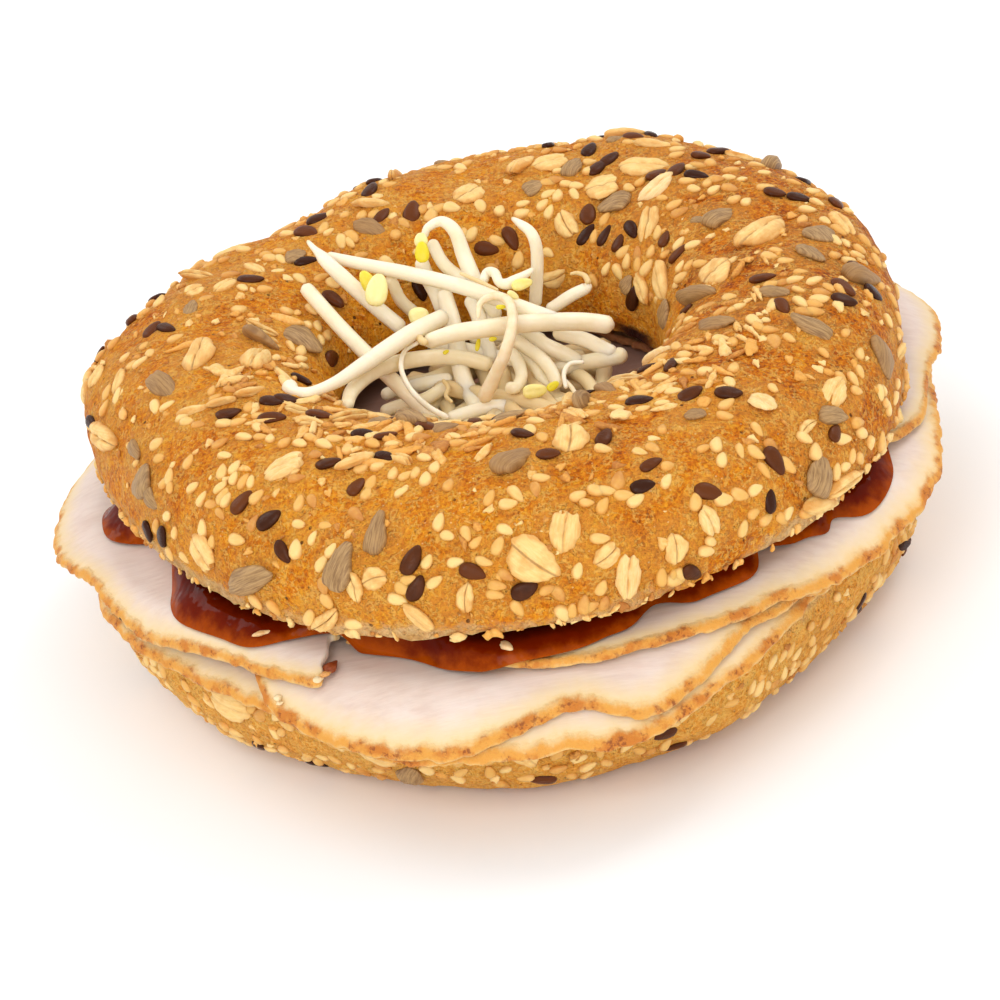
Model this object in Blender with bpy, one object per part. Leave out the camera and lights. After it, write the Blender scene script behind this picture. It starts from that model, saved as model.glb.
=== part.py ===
"""Bagel sandwich: a seeded wholegrain bagel cut in two, filled with roast turkey
slices and a dark red sauce, with bean sprouts heaped in its hole.

Metres, +Z up, standing on the foot of the lower half. +Y points away from the
side that is usually looked at. The bagel's axis is the frame that every piece
is worked out in, and ASSEMBLY_SHIFT moves the lot so that the origin is under
the middle of the whole sandwich."""
import math
import random

import bmesh
import bpy
import numpy as np

MM = 0.001

# Bagel, in millimetres
OUTER_RADIUS = 61.0
HOLE_RADIUS = 24.0
LOWER_HEIGHT = 20.0          # the lower half, from its foot to its cut face
UPPER_BASE = 31.0            # height of the upper half's cut face
UPPER_HEIGHT = 17.7          # how far the upper half rises above its cut face
UPPER_SHIFT = (1.4, 0.7)     # the upper half sits a little off the lower one
EDGE_TUCK = math.radians(12)  # how far the crust curls in under its widest line
CRUST_FULLNESS = 2.15        # 2 is a round section, more is squarer
LOWER_FULLNESS = 0.83        # the power that squares the lower half's section
SHOULDER_TUCK = 3.6          # the lower half's cut edge stands in from its side
SHOULDER_DEPTH = 7.0         # and the rounding reaches this far down
FOOT_FLAT = 0.7              # what is pressed flat under the foot
CRUST_TURN = 1.5 * math.pi   # the crust's part of a turn round the section: the rest is the cut
LUMP_FADE = 4.0              # the lumps fade out this near the foot and the cut

# How far each half is out of round, as (waves round the ring, cosine, sine)
UPPER_WAVES = [(2, -1.3, 0.2), (3, -1.1, 1.8), (4, -0.6, -1.0)]
LOWER_WAVES = [(2, -0.3, 0.4), (3, -0.1, 1.0), (4, 1.2, 0.3)]
# Where the upper half is pressed in: bearing and half width in degrees, how far in at its
# side and how far down at its crown
UPPER_DENTS = [(135.0, 20.0, 4.6, 1.8), (68.0, 28.0, 0.0, 1.2)]

# Turkey
SLICE_THICKNESS = 1.8
SLICE_RIM = 1.3              # the roasted edge is thinner than the middle
SLICE_PITCH = 2.3            # from one layer to the next
LAYER_GAP = 0.35             # between the lower half's cut and the first slice
SLICE_ROUNDING = 1.2         # how far in from its edge a slice is rounded off
DROOP_START = 1.4            # past the shoulder, where the slices begin to hang down
DROOP_REACH = 10.1           # and how much farther out they hang as low as below
DROOP_SIDE = 5.0
DROOP_FRONT = 8.0
DROOP_POWER = 1.6            # more is flatter at first and steeper at the edge
DROOP_RIPPLE = (0.12, 7, 0.6)  # share, waves round the bagel and phase
LEFT_SAG_START = 42.0        # from here to the left a slice's own sag sets in
LEFT_SAG_RUN = 14.0          # and is full this much farther
SLICE_SEGMENTS = 34
SLICE_RINGS = 8

# Each slice: its layer, its middle, the extra droop of its left edge, and the
# turning points of its outline
SLICES = [
    (0, (-4, -12), 0.0,
     [(-61, -12), (-58, -25), (-50, -37), (-40, -49), (-26, -62), (-9, -68), (10, -69),
      (23, -63), (34, -53), (46, -36), (54, -12), (52, 20), (34, 46), (4, 59),
      (-30, 52), (-54, 26)]),
    (1, (6, -16), 0.0,
     [(-39, -48), (-34, -57), (-27, -63), (-13, -68), (3, -67), (12, -68), (19, -65),
      (28, -57), (43, -44), (56, -26), (60, 2), (54, 30), (30, 53), (-4, 56),
      (-30, 42), (-40, 14), (-41, -20)]),
    (2, (-38, -4), 2.0,
     [(-63, 24), (-67, 10), (-67, -3), (-61, -17), (-55, -30), (-45, -42), (-35, -52),
      (-29, -55), (-27, -47), (-19, -32), (-13, -8), (-13, 16), (-18, 38), (-34, 50),
      (-51, 42)]),
    (2, (26, -6), 0.0,
     [(-8, -59), (6, -63), (20, -60), (33, -54), (48, -42), (59, -27), (62, -12),
      (63, 8), (58, 28), (42, 48), (18, 58), (0, 52), (-4, 26), (-5, 0), (-9, -24),
      (-14, -46)]),
    (3, (38, 30), 0.0,
     [(66, 8), (62, -5), (59, -17), (53, -23), (40, -21), (31, -6), (25, 12),
      (11, 28), (-12, 36), (-32, 40), (-30, 50), (-10, 60), (14, 63), (38, 55),
      (57, 38), (66, 22)]),
]

# Sauce: it stops short of the crust's edge, but for lobes that are squeezed out,
# each by its bearing and half width in degrees, and how far it reaches
SAUCE_INNER = 28.0
SAUCE_OUTER = 52.5
SAUCE_CEILING = 30.6
SAUCE_EDGE = 1.1             # thickness of the lobes
SAUCE_GAP = 0.75
SAUCE_FLOOR_FALL = (45.0, 8.0)    # where its underside begins to follow the turkey, and the run
SAUCE_CEILING_FALL = (54.0, 6.0)  # the same for its top
LEVEL_REACH = 9.0            # how far past a slice's edge the sauce still bridges the step
LEVEL_RUN = 5.0
SAUCE_LOBES = [(182.5, 8, 7.0), (222, 15, 7.4), (249, 9, 3.0), (269.5, 14, 10.0),
               (286, 6, 3.0), (297, 8, 7.5), (311.5, 5, 5.5), (327, 11.5, 7.8)]

# Bean sprouts: a low core in the hole, and the stems that lie over it
SPROUT_RADIUS = 1.3
HEAP_MIDDLE = (1.0, 1.0)
HEAP_RADIUS = 19.0
HEAP_BASE = 27.1
HEAP_TOP = 38.5
HEAP_SQUARENESS = 0.4        # less is a flatter underside
HEAP_RIPPLE = 0.05
SPROUTS = [
    [(-20, 23, 49), (-6, 17, 45), (10, 9, 38)],
    [(-23, 27, 51), (-18, 22, 48), (-9, 14, 36)],
    [(-24, 17, 48), (-17, 7, 40), (-9, 0, 34)],
    [(-12, 19, 46), (-8, 14, 36)],
    [(-6, 24, 47), (-2, 21, 49), (0, 16, 43), (1, 12, 34)],
    [(-4, 18, 45), (-2, 13, 38), (-2, 8, 34)],
    [(5, 22, 48), (9, 17, 48), (8, 14, 35)],
    [(-9, 4, 41), (0, 4, 42), (18, 5, 38), (21, 6, 36)],
    [(-27, -12, 48), (-23, -12, 48), (-15, -3, 44), (-4, 8, 40), (2, 10, 36)],
    [(-20, -8, 41), (-16, -3, 40), (-9, 3, 38), (-2, 5, 36)],
    [(-2, -2, 37), (2, -1, 42), (1, 5, 43), (-3, 8, 36)],
    [(14, -12, 40), (10, -4, 40), (0, 2, 37)],
]

# Seeds: length, width and thickness
SEED_SIZES = {
    "oat": (8.0, 5.2, 1.9),
    "sunflower": (6.6, 3.7, 2.6),
    "flax": (4.0, 2.2, 1.6),
    "sesame": (3.0, 1.9, 1.5),
}
SEED_FACETS = {"oat": (7, 4), "sunflower": (6, 4), "flax": (5, 3), "sesame": (5, 3)}
UPPER_SEEDS = [("oat", 20), ("sunflower", 13), ("flax", 22), ("sesame", 30)]
LOWER_SEEDS = [("oat", 7), ("sunflower", 3), ("flax", 6), ("sesame", 10)]
SEED_SINK = 0.12             # how much of its thickness a seed's middle is sunk
SEED_TAPER = 0.22            # how much narrower its sharper end is
SEED_GAP = 0.4
UPPER_SEED_SPAN = (0.12 * math.pi, 1.3 * math.pi)    # the part of the section with seeds
LOWER_SEED_SPAN = (0.30 * math.pi, 0.66 * math.pi)
LOWER_SEED_HEIGHTS = (3.5, 13.0)  # above the foot, and clear of the slices
STEM_REST = (40.0, [(118, 165), (190, 222)])  # seeds keep off the rim where stems lie on it

ASSEMBLY_SHIFT = (0.4, 3.1)

MATERIALS = {
    "crust": ((0.62, 0.33, 0.09), 0.62),
    "turkey": ((0.86, 0.70, 0.58), 0.45),
    "sauce": ((0.30, 0.05, 0.01), 0.18),
    "sprout": ((0.90, 0.82, 0.62), 0.35),
}


def smooth(value):
    """0 below 0, 1 above 1, and an S curve between."""
    value = np.clip(value, 0.0, 1.0)
    return value * value * (3.0 - 2.0 * value)


def waves(bearing, terms):
    return sum(c * np.cos(n * bearing) + s * np.sin(n * bearing) for n, c, s in terms)


def power(value, exponent):
    """A power that keeps the sign."""
    return np.sign(value) * np.abs(value) ** exponent


def material(name):
    colour, roughness = MATERIALS[name]
    made = bpy.data.materials.get(name) or bpy.data.materials.new(name)
    made.use_nodes = True
    shader = made.node_tree.nodes["Principled BSDF"]
    shader.inputs["Base Color"].default_value = (*colour, 1.0)
    shader.inputs["Roughness"].default_value = roughness
    shader.inputs["Metallic"].default_value = 0.0
    return made


def collection(name):
    made = bpy.data.collections.new(name)
    bpy.context.scene.collection.children.link(made)
    return made


def adopt(name, finish, group):
    """Name the object just added, and put it in its collection with its material."""
    made = bpy.context.object
    made.name = made.data.name = name
    for owner in list(made.users_collection):
        owner.objects.unlink(made)
    group.objects.link(made)
    made.data.materials.clear()
    made.data.materials.append(material(finish))
    return made


def reshape(made, rule):
    """Move a primitive's vertices: rule takes and gives an array of places in mm."""
    mesh = made.data
    places = np.empty(len(mesh.vertices) * 3)
    mesh.vertices.foreach_get("co", places)
    mesh.vertices.foreach_set("co", (rule(places.reshape(-1, 3)) * MM).ravel())
    mesh.update()


def ring_angles(places, major):
    """The bearing round the axis, and the angle round the section, of torus points."""
    bearing = np.arctan2(places[:, 1], places[:, 0])
    across = np.hypot(places[:, 0], places[:, 1]) - major
    turn = np.mod(np.arctan2(places[:, 2], across), 2 * math.pi)
    return bearing, turn


def crust_lumps(bearing, turn):
    """The slow unevenness of baked dough."""
    return (0.35 * np.sin(5 * bearing + 2 * turn) + 0.3 * np.sin(9 * bearing - 3 * turn + 1.0)
            + 0.2 * np.sin(14 * bearing + 4 * turn + 2.0))


def upper_dents(bearing):
    """How far in and how far down the upper half is pressed at each bearing."""
    inward, down = 0.0 * bearing, 0.0 * bearing
    for middle, half_width, deep, low in UPPER_DENTS:
        off = np.mod(bearing - math.radians(middle) + math.pi, 2 * math.pi) - math.pi
        share = np.exp(-(off / math.radians(half_width)) ** 2)
        inward, down = inward + deep * share, down + low * share
    return inward, down


def upper_section(bearing, turn):
    """Over the crown from the outer cut edge to the inner one, then back along the cut."""
    inward, down = upper_dents(bearing)
    over = np.clip(turn / CRUST_TURN, 0.0, 1.0)
    angle = -EDGE_TUCK + over * (math.pi + 2 * EDGE_TUCK)
    outer = OUTER_RADIUS + waves(bearing, UPPER_WAVES) - inward
    middle = (outer + HOLE_RADIUS) / 2
    half = (outer - HOLE_RADIUS) / 2
    exponent = 2 / CRUST_FULLNESS
    low = -math.sin(EDGE_TUCK) ** exponent
    lift = np.clip((power(np.sin(angle), exponent) - low) / (1 - low), 0.0, 1.0)
    lumps = crust_lumps(bearing, angle) * np.clip(lift * UPPER_HEIGHT / LUMP_FADE, 0, 1)
    radius = middle + half * power(np.cos(angle), exponent)
    back = np.clip((turn - CRUST_TURN) / (2 * math.pi - CRUST_TURN), 0.0, 1.0)
    tuck = half * abs(math.cos(EDGE_TUCK)) ** exponent
    radius = np.where(turn > CRUST_TURN, middle - tuck + 2 * tuck * back, radius)
    height = UPPER_BASE + (UPPER_HEIGHT - down) * lift + lumps
    height = np.where(turn > CRUST_TURN, UPPER_BASE, height)
    return radius + 0.6 * lumps, height


def lower_radius(bearing):
    return OUTER_RADIUS + waves(bearing, LOWER_WAVES)


def bend_radius(bearing):
    """Where the slices begin to hang down, from the bagel's axis."""
    return lower_radius(bearing) - SHOULDER_TUCK + DROOP_START


def lower_section(bearing, turn):
    """Down the outer side and under the foot to the hole, then back along the cut."""
    angle = np.clip(turn / CRUST_TURN, 0.0, 1.0) * math.pi
    outer = lower_radius(bearing)
    middle = (outer + HOLE_RADIUS) / 2
    half = (outer - HOLE_RADIUS) / 2
    depth = LOWER_HEIGHT + FOOT_FLAT
    height = depth * (1 - np.abs(np.sin(angle)) ** LOWER_FULLNESS) - FOOT_FLAT
    radius = middle + half * power(np.cos(angle), LOWER_FULLNESS)
    shoulder = np.clip((height - (LOWER_HEIGHT - SHOULDER_DEPTH)) / SHOULDER_DEPTH, 0.0, 1.0)
    lumps = crust_lumps(bearing, angle) * np.clip(height / LUMP_FADE, 0, 1)
    lumps = lumps * np.clip((LOWER_HEIGHT - height) / LUMP_FADE, 0, 1)
    radius = radius + np.where(angle < math.pi / 2, lumps - SHOULDER_TUCK * shoulder ** 2, 0.0)
    back = np.clip((turn - CRUST_TURN) / (2 * math.pi - CRUST_TURN), 0.0, 1.0)
    cut_outer = outer - SHOULDER_TUCK
    radius = np.where(turn > CRUST_TURN, HOLE_RADIUS + (cut_outer - HOLE_RADIUS) * back, radius)
    height = np.where(turn > CRUST_TURN, LOWER_HEIGHT, height)
    return radius, np.maximum(height, 0.0)


def ring_place(section, shift, bearing, turn):
    radius, height = section(bearing, turn)
    return np.stack([radius * np.cos(bearing) + shift[0], radius * np.sin(bearing) + shift[1],
                     height], -1)


def bread_ring(name, section, shift, segments, rounds, upside, group):
    """A torus primitive drawn out to one half of the bagel."""
    major, minor = 10.0, 4.0
    bpy.ops.mesh.primitive_torus_add(major_segments=segments, minor_segments=rounds,
                                     major_radius=major, minor_radius=minor)
    made = adopt(name, "crust", group)

    def draw(places):
        bearing, turn = ring_angles(places, major)
        turn = np.mod(upside * turn, 2 * math.pi)
        return ring_place(section, shift, bearing, turn)

    reshape(made, draw)
    return made


def surface_frame(section, shift, bearing, turn):
    """A point of the crust, and the directions along, across and out of it."""
    step = 1e-3
    here = ring_place(section, shift, np.array([bearing]), np.array([turn]))[0]
    round_it = ring_place(section, shift, np.array([bearing + step]), np.array([turn]))[0] - here
    over_it = ring_place(section, shift, np.array([bearing]), np.array([turn + step]))[0] - here
    out = np.cross(round_it, over_it)
    out /= np.linalg.norm(out)
    along = round_it / np.linalg.norm(round_it)
    return here, along, np.cross(out, along), out


def scatter(section, shift, kinds, span, clear, chance):
    """Places for the seeds, the largest first, none nearer than their sizes allow."""
    taken = []
    for kind, count in kinds:
        length = SEED_SIZES[kind][0]
        placed = tries = 0
        while placed < count and tries < 4000:
            tries += 1
            bearing = chance.uniform(0, 2 * math.pi)
            turn = chance.uniform(*span)
            here, along, across, out = surface_frame(section, shift, bearing, turn)
            radius = math.hypot(here[0] - shift[0], here[1] - shift[1])
            if chance.random() > radius / OUTER_RADIUS or not clear(here):
                continue
            if any(np.linalg.norm(here - other) < 0.5 * (length + reach) + SEED_GAP
                   for other, reach in taken):
                continue
            taken.append((here, length))
            placed += 1
            spin = chance.uniform(0, 2 * math.pi)
            yield kind, here, along * math.cos(spin) + across * math.sin(spin), out


def add_seed(kind, place, along, out, group):
    """A flattened egg with one blunt and one sharper end, half sunk in the crust."""
    length, width, thick = SEED_SIZES[kind]
    side = np.cross(out, along)
    segments, rounds = SEED_FACETS[kind]
    bpy.ops.mesh.primitive_uv_sphere_add(segments=segments, ring_count=rounds, radius=1.0)
    made = adopt("seed", "crust", group)
    middle = place - out * thick * SEED_SINK

    def draw(places):
        taper = 1.0 - SEED_TAPER * places[:, 2]
        return (middle + np.outer(places[:, 2] * length / 2, along)
                + np.outer(places[:, 0] * taper * width / 2, side)
                + np.outer(places[:, 1] * taper * thick / 2, out))

    reshape(made, draw)


def join_all(made, cutters, solver):
    """One union with everything in a collection, applied, and its objects removed."""
    union = made.modifiers.new("join", "BOOLEAN")
    union.operation = "UNION"
    union.operand_type = "COLLECTION"
    union.collection = cutters
    union.solver = solver
    bpy.context.view_layer.update()
    evaluated = made.evaluated_get(bpy.context.evaluated_depsgraph_get())
    joined = bpy.data.meshes.new_from_object(evaluated)
    joined.name = made.name
    made.modifiers.remove(union)
    old = made.data
    made.data = joined
    bpy.data.meshes.remove(old)
    for other in list(cutters.objects):
        bpy.data.objects.remove(other)
    bpy.data.collections.remove(cutters)


def seed_ring(made, section, shift, kinds, span, clear, chance):
    seeds = collection(made.name + " seeds")
    for kind, place, along, out in scatter(section, shift, kinds, span, clear, chance):
        add_seed(kind, place, along, out, seeds)
    join_all(made, seeds, "MANIFOLD")


def droop(x, y):
    """How far a slice hangs down past the lower half's shoulder."""
    bearing = np.arctan2(y, x)
    over = np.hypot(x, y) - bend_radius(bearing)
    front = np.maximum(0.0, -np.sin(bearing))
    depth = DROOP_SIDE + (DROOP_FRONT - DROOP_SIDE) * front
    share, count, phase = DROOP_RIPPLE
    ripple = 1.0 + share * np.sin(count * bearing + phase)
    return depth * ripple * (np.maximum(0.0, over) / DROOP_REACH) ** DROOP_POWER


def slice_height(layer, left_sag, x, y):
    """The underside of a slice at a place."""
    sag = left_sag * smooth((-x - LEFT_SAG_START) / LEFT_SAG_RUN)
    base = LOWER_HEIGHT + LAYER_GAP + layer * SLICE_PITCH
    return base - droop(x, y) - sag


def outline_points(corners, count):
    """A smooth closed curve through the corners, evenly spread by their number."""
    corners = np.array(corners, float)
    steps = np.linspace(0, len(corners), count, endpoint=False)
    index = steps.astype(int)
    part = (steps - index)[:, None]
    before, start, end, after = (corners[(index + k) % len(corners)] for k in (-1, 0, 1, 2))
    return 0.5 * (2 * start + (end - before) * part
                  + (2 * before - 5 * start + 4 * end - after) * part ** 2
                  + (3 * start - before - 3 * end + after) * part ** 3)


def outline_reach(corners, middle, bearing):
    """How far the outline is from its middle along each bearing."""
    points = outline_points(corners, 720) - np.array(middle)
    angles = np.arctan2(points[:, 1], points[:, 0])
    order = np.argsort(angles)
    return np.interp(bearing, angles[order], np.hypot(*points[order].T), period=2 * math.pi)


def bend_reach(middle, bearing):
    """How far that line is from a slice's middle along each bearing."""
    along = middle[0] * np.cos(bearing) + middle[1] * np.sin(bearing)
    circle = OUTER_RADIUS - SHOULDER_TUCK
    for _ in range(4):
        reach = -along + np.sqrt(along ** 2 + circle ** 2 - middle[0] ** 2 - middle[1] ** 2)
        circle = bend_radius(np.arctan2(middle[1] + reach * np.sin(bearing),
                                        middle[0] + reach * np.cos(bearing)))
    return reach


def turkey_slice(name, layer, middle, left_sag, corners, group):
    """A sphere primitive pressed to a thin slice that lies on what is under it."""
    bpy.ops.mesh.primitive_uv_sphere_add(segments=SLICE_SEGMENTS, ring_count=SLICE_RINGS,
                                         radius=1.0)
    made = adopt(name, "turkey", group)

    def draw(places):
        fall = np.arccos(np.clip(np.abs(places[:, 2]), 0, 1))
        ring = np.rint(fall * SLICE_RINGS / math.pi).astype(int)
        bearing = np.arctan2(places[:, 1], places[:, 0])
        rim = outline_reach(corners, middle, bearing)
        bend = np.minimum(bend_reach(middle, bearing), 0.86 * rim)
        rings = [0 * rim, bend, (bend + rim) / 2, rim - SLICE_ROUNDING, rim]
        reach = np.choose(ring, rings)
        x = middle[0] + reach * np.cos(bearing)
        y = middle[1] + reach * np.sin(bearing)
        thick = np.interp(ring, [0, 1, 3, 4], [SLICE_THICKNESS, SLICE_THICKNESS, SLICE_RIM,
                                               SLICE_RIM])
        level = np.choose(ring, [1, 1, 1, 1, 0.5])
        level = np.where((places[:, 2] < 0) & (ring < 4), 0.0, level)
        return np.stack([x, y, slice_height(layer, left_sag, x, y) + level * thick], -1)

    reshape(made, draw)
    split = made.modifiers.new("split faces alike", "TRIANGULATE")
    split.quad_method = "SHORTEST_DIAGONAL"
    return made


def outside_distance(corners, x, y):
    """How far each place is outside an outline, less than 0 inside it."""
    points = outline_points(corners, 96)
    after = np.roll(points, -1, axis=0)
    places = np.stack([x, y], -1)[:, None, :]
    along = after - points
    share = ((places - points) * along).sum(-1) / (along * along).sum(-1)
    nearest = points + np.clip(share, 0, 1)[..., None] * along
    distance = np.linalg.norm(places - nearest, axis=-1).min(axis=1)
    crosses = (points[:, 1] > places[..., 1]) != (after[:, 1] > places[..., 1])
    reach = points[:, 0] + (places[..., 1] - points[:, 1]) * along[:, 0] / along[:, 1]
    inside = ((crosses & (places[..., 0] < reach)).sum(axis=1) % 2) == 1
    return np.where(inside, -distance, distance)


def stack_top(x, y):
    """The top of the turkey under a place, levelled out round each slice's edge."""
    top = np.full(x.shape, LOWER_HEIGHT) - droop(x, y)
    for layer, _, left_sag, corners in SLICES:
        covered = smooth((LEVEL_REACH - outside_distance(corners, x, y)) / LEVEL_RUN)
        own = slice_height(layer, left_sag, x, y) + SLICE_THICKNESS
        top = top + covered * np.maximum(own - top, 0.0)
    return top


def sauce_reach(bearing):
    reach = np.full(bearing.shape, SAUCE_OUTER)
    for middle, half, height in SAUCE_LOBES:
        off = np.mod(bearing - math.radians(middle) + math.pi, 2 * math.pi) - math.pi
        reach = reach + height * np.exp(-(off / math.radians(half)) ** 4)
    return reach


def sauce_layer(name, group):
    """A torus primitive pressed flat, its outer edge let down onto the turkey."""
    major, minor = 10.0, 4.0
    bpy.ops.mesh.primitive_torus_add(major_segments=48, minor_segments=12,
                                     major_radius=major, minor_radius=minor)
    made = adopt(name, "sauce", group)

    def draw(places):
        bearing, turn = ring_angles(places, major)
        upper = turn < math.pi
        fold = np.where(upper, turn, 2 * math.pi - turn) / math.pi
        share = np.interp(fold, [0, 1 / 6, 1 / 3, 1 / 2, 2 / 3, 5 / 6, 1],
                          [1, 0.965, 0.86, 0.72, 0.5, 0.04, 0])
        outer = sauce_reach(bearing)
        radius = SAUCE_INNER + share * (outer - SAUCE_INNER)
        x, y = radius * np.cos(bearing), radius * np.sin(bearing)
        inner_floor = LOWER_HEIGHT + 4 * SLICE_PITCH + LAYER_GAP
        floor = stack_top(x, y) + SAUCE_GAP
        start, run = SAUCE_FLOOR_FALL
        floor = inner_floor + (floor - inner_floor) * smooth((radius - start) / run)
        start, run = SAUCE_CEILING_FALL
        ceiling = SAUCE_CEILING + (floor + SAUCE_EDGE - SAUCE_CEILING) * smooth(
            (radius - start) / run)
        edge = (share > 0.999) | (share < 0.001)
        height = np.where(edge, (floor + ceiling) / 2, np.where(upper, ceiling, floor))
        return np.stack([x, y, height], -1)

    reshape(made, draw)
    return made


def sprout_stem(route, radius, group):
    """A stem as a round tube, made a closed mesh so that it can be joined."""
    curve = bpy.data.curves.new("stem", "CURVE")
    curve.dimensions = "3D"
    curve.bevel_depth = radius * MM
    curve.bevel_resolution = 1
    curve.use_fill_caps = True
    route = np.array(route, float)
    at = np.arange(len(route))
    count = 2 + 2 * (len(route) - 1)
    smoothed = np.stack([np.interp(np.linspace(0, at[-1], count), at, route[:, k])
                         for k in range(3)], -1)
    for _ in range(2):
        smoothed[1:-1] = (smoothed[:-2] + 2 * smoothed[1:-1] + smoothed[2:]) / 4
    spline = curve.splines.new("POLY")
    spline.points.add(count - 1)
    for point, place in zip(spline.points, smoothed):
        point.co = (*(place * MM), 1.0)
    tube = bpy.data.objects.new("stem curve", curve)
    group.objects.link(tube)
    bpy.context.view_layer.update()
    mesh = bpy.data.meshes.new_from_object(
        tube.evaluated_get(bpy.context.evaluated_depsgraph_get()))
    bpy.data.objects.remove(tube)
    bpy.data.curves.remove(curve)
    work = bmesh.new()
    work.from_mesh(mesh)
    bmesh.ops.remove_doubles(work, verts=work.verts, dist=1e-5)
    bmesh.ops.recalc_face_normals(work, faces=work.faces)
    work.to_mesh(mesh)
    work.free()
    group.objects.link(bpy.data.objects.new("stem", mesh))


def sprout_heap(name, group):
    """The core of the heap, with the stems that show joined to it."""
    bpy.ops.mesh.primitive_uv_sphere_add(segments=18, ring_count=6, radius=1.0)
    made = adopt(name, "sprout", group)

    def draw(places):
        middle = (HEAP_BASE + HEAP_TOP) / 2
        bearing = np.arctan2(places[:, 1], places[:, 0])
        reach = HEAP_RADIUS * (1 + HEAP_RIPPLE * np.sin(5 * bearing))
        share = np.where(places[:, 2] < 0, power(places[:, 2], HEAP_SQUARENESS), places[:, 2])
        return np.stack([places[:, 0] * reach + HEAP_MIDDLE[0],
                         places[:, 1] * reach + HEAP_MIDDLE[1],
                         middle + share * (HEAP_TOP - middle)], -1)

    reshape(made, draw)
    stems = collection("stems")
    for route in SPROUTS:
        sprout_stem(route, SPROUT_RADIUS, stems)
    join_all(made, stems, "MANIFOLD")
    made.data.materials.clear()
    made.data.materials.append(material("sprout"))
    return made


def clear_of_sprouts(place):
    """The stems lie over the back left of the hole's rim, and its near left."""
    reach, spans = STEM_REST
    bearing = math.degrees(math.atan2(place[1], place[0])) % 360
    near = math.hypot(place[0], place[1]) < reach
    return not (near and any(low < bearing < high for low, high in spans))


def clear_of_turkey(place):
    return LOWER_SEED_HEIGHTS[0] < place[2] < LOWER_SEED_HEIGHTS[1]


def main():
    for old in list(bpy.data.objects):
        bpy.data.objects.remove(old)
    chance = random.Random(7)
    group = collection("bagel sandwich")

    lower = bread_ring("bagel_bottom", lower_section, (0, 0), 48, 16, -1, group)
    seed_ring(lower, lower_section, (0, 0), LOWER_SEEDS, LOWER_SEED_SPAN, clear_of_turkey,
              chance)
    for number, (layer, middle, left_sag, corners) in enumerate(SLICES, start=1):
        turkey_slice("turkey_slice_%d" % number, layer, middle, left_sag, corners, group)
    sauce_layer("sauce", group)
    upper = bread_ring("bagel_top", upper_section, UPPER_SHIFT, 56, 18, 1, group)
    seed_ring(upper, upper_section, UPPER_SHIFT, UPPER_SEEDS, UPPER_SEED_SPAN,
              clear_of_sprouts, chance)
    sprout_heap("bean_sprouts", group)

    whole = bpy.data.objects.new("sandwich", None)
    group.objects.link(whole)
    for piece in list(group.objects):
        if piece is not whole:
            piece.parent = whole
            piece.data.shade_smooth()
            piece.data.set_sharp_from_angle(angle=math.radians(50))
    whole.location = (ASSEMBLY_SHIFT[0] * MM, ASSEMBLY_SHIFT[1] * MM, 0.0)


main()
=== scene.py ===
import math
from itertools import product

import bpy
import numpy as np
from mathutils import Matrix, Vector


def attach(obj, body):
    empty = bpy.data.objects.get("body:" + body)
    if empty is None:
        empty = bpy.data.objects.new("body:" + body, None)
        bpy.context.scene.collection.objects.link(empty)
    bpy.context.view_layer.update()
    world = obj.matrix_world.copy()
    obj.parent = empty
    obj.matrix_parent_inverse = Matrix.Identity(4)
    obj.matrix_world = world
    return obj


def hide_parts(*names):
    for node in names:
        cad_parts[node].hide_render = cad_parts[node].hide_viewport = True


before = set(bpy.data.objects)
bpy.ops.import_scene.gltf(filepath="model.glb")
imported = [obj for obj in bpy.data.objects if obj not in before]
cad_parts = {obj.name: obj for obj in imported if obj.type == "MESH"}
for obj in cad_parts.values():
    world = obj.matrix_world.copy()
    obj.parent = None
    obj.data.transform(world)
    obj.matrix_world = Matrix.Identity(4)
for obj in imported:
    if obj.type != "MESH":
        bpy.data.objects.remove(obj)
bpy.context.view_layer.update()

# Shapes are worked out in millimetres about the bagel's own axis, as in the part's source,
# and setDown() moves them to the frame.
mm = 0.001
assemblyShift = np.array([0.4, 3.1, 0.0])


# Shared maths

def smooth(value):  # 0 below 0, 1 above 1, an S curve between
    value = np.clip(value, 0.0, 1.0)
    return value * value * (3.0 - 2.0 * value)


def power(value, exponent):  # a power that keeps the sign
    return np.sign(value) * np.abs(value) ** exponent


def waves(bearing, terms):  # sum of cosines and sines, each term (count, cosine, sine)
    return sum(c * np.cos(n * bearing) + s * np.sin(n * bearing) for n, c, s in terms)


def cloud(place, size, seed):
    # random numbers on a cubic lattice of that size, joined by S curves, from -1 to 1
    table = np.random.default_rng(seed).uniform(-1, 1, (32, 32, 32))
    scaled = np.asarray(place, float) / size
    cell = np.floor(scaled).astype(int)
    part = smooth(scaled - cell)
    total = np.zeros(scaled.shape[:-1])
    for corner in product((0, 1), repeat=3):
        weight = np.prod(np.where(np.array(corner) == 1, part, 1 - part), axis=-1)
        i = (cell + corner) % 32
        total += weight * table[i[..., 0], i[..., 1], i[..., 2]]
    return total


def ringCloud(bearing, count, seed):
    # the same round a circle: about count bumps in one turn
    circle = np.stack([np.cos(bearing), np.sin(bearing), 0 * bearing], -1)
    return cloud(circle * count / (2 * math.pi) + 7.3, 1.0, seed)


def unit(vectors):
    return vectors / np.maximum(np.linalg.norm(vectors, axis=-1, keepdims=True), 1e-12)


def turnFrom(bearing, degrees):  # how far bearings lie from one of so many degrees, in radians
    return np.mod(bearing - math.radians(degrees) + math.pi, 2 * math.pi) - math.pi


def curveThrough(before, start, end, after, part):
    # a Catmull-Rom curve: a cubic from start to end, its slopes set by the points on either side
    return 0.5 * (2 * start + (end - before) * part
                  + (2 * before - 5 * start + 4 * end - after) * part ** 2
                  + (3 * start - before - 3 * end + after) * part ** 3)


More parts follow.
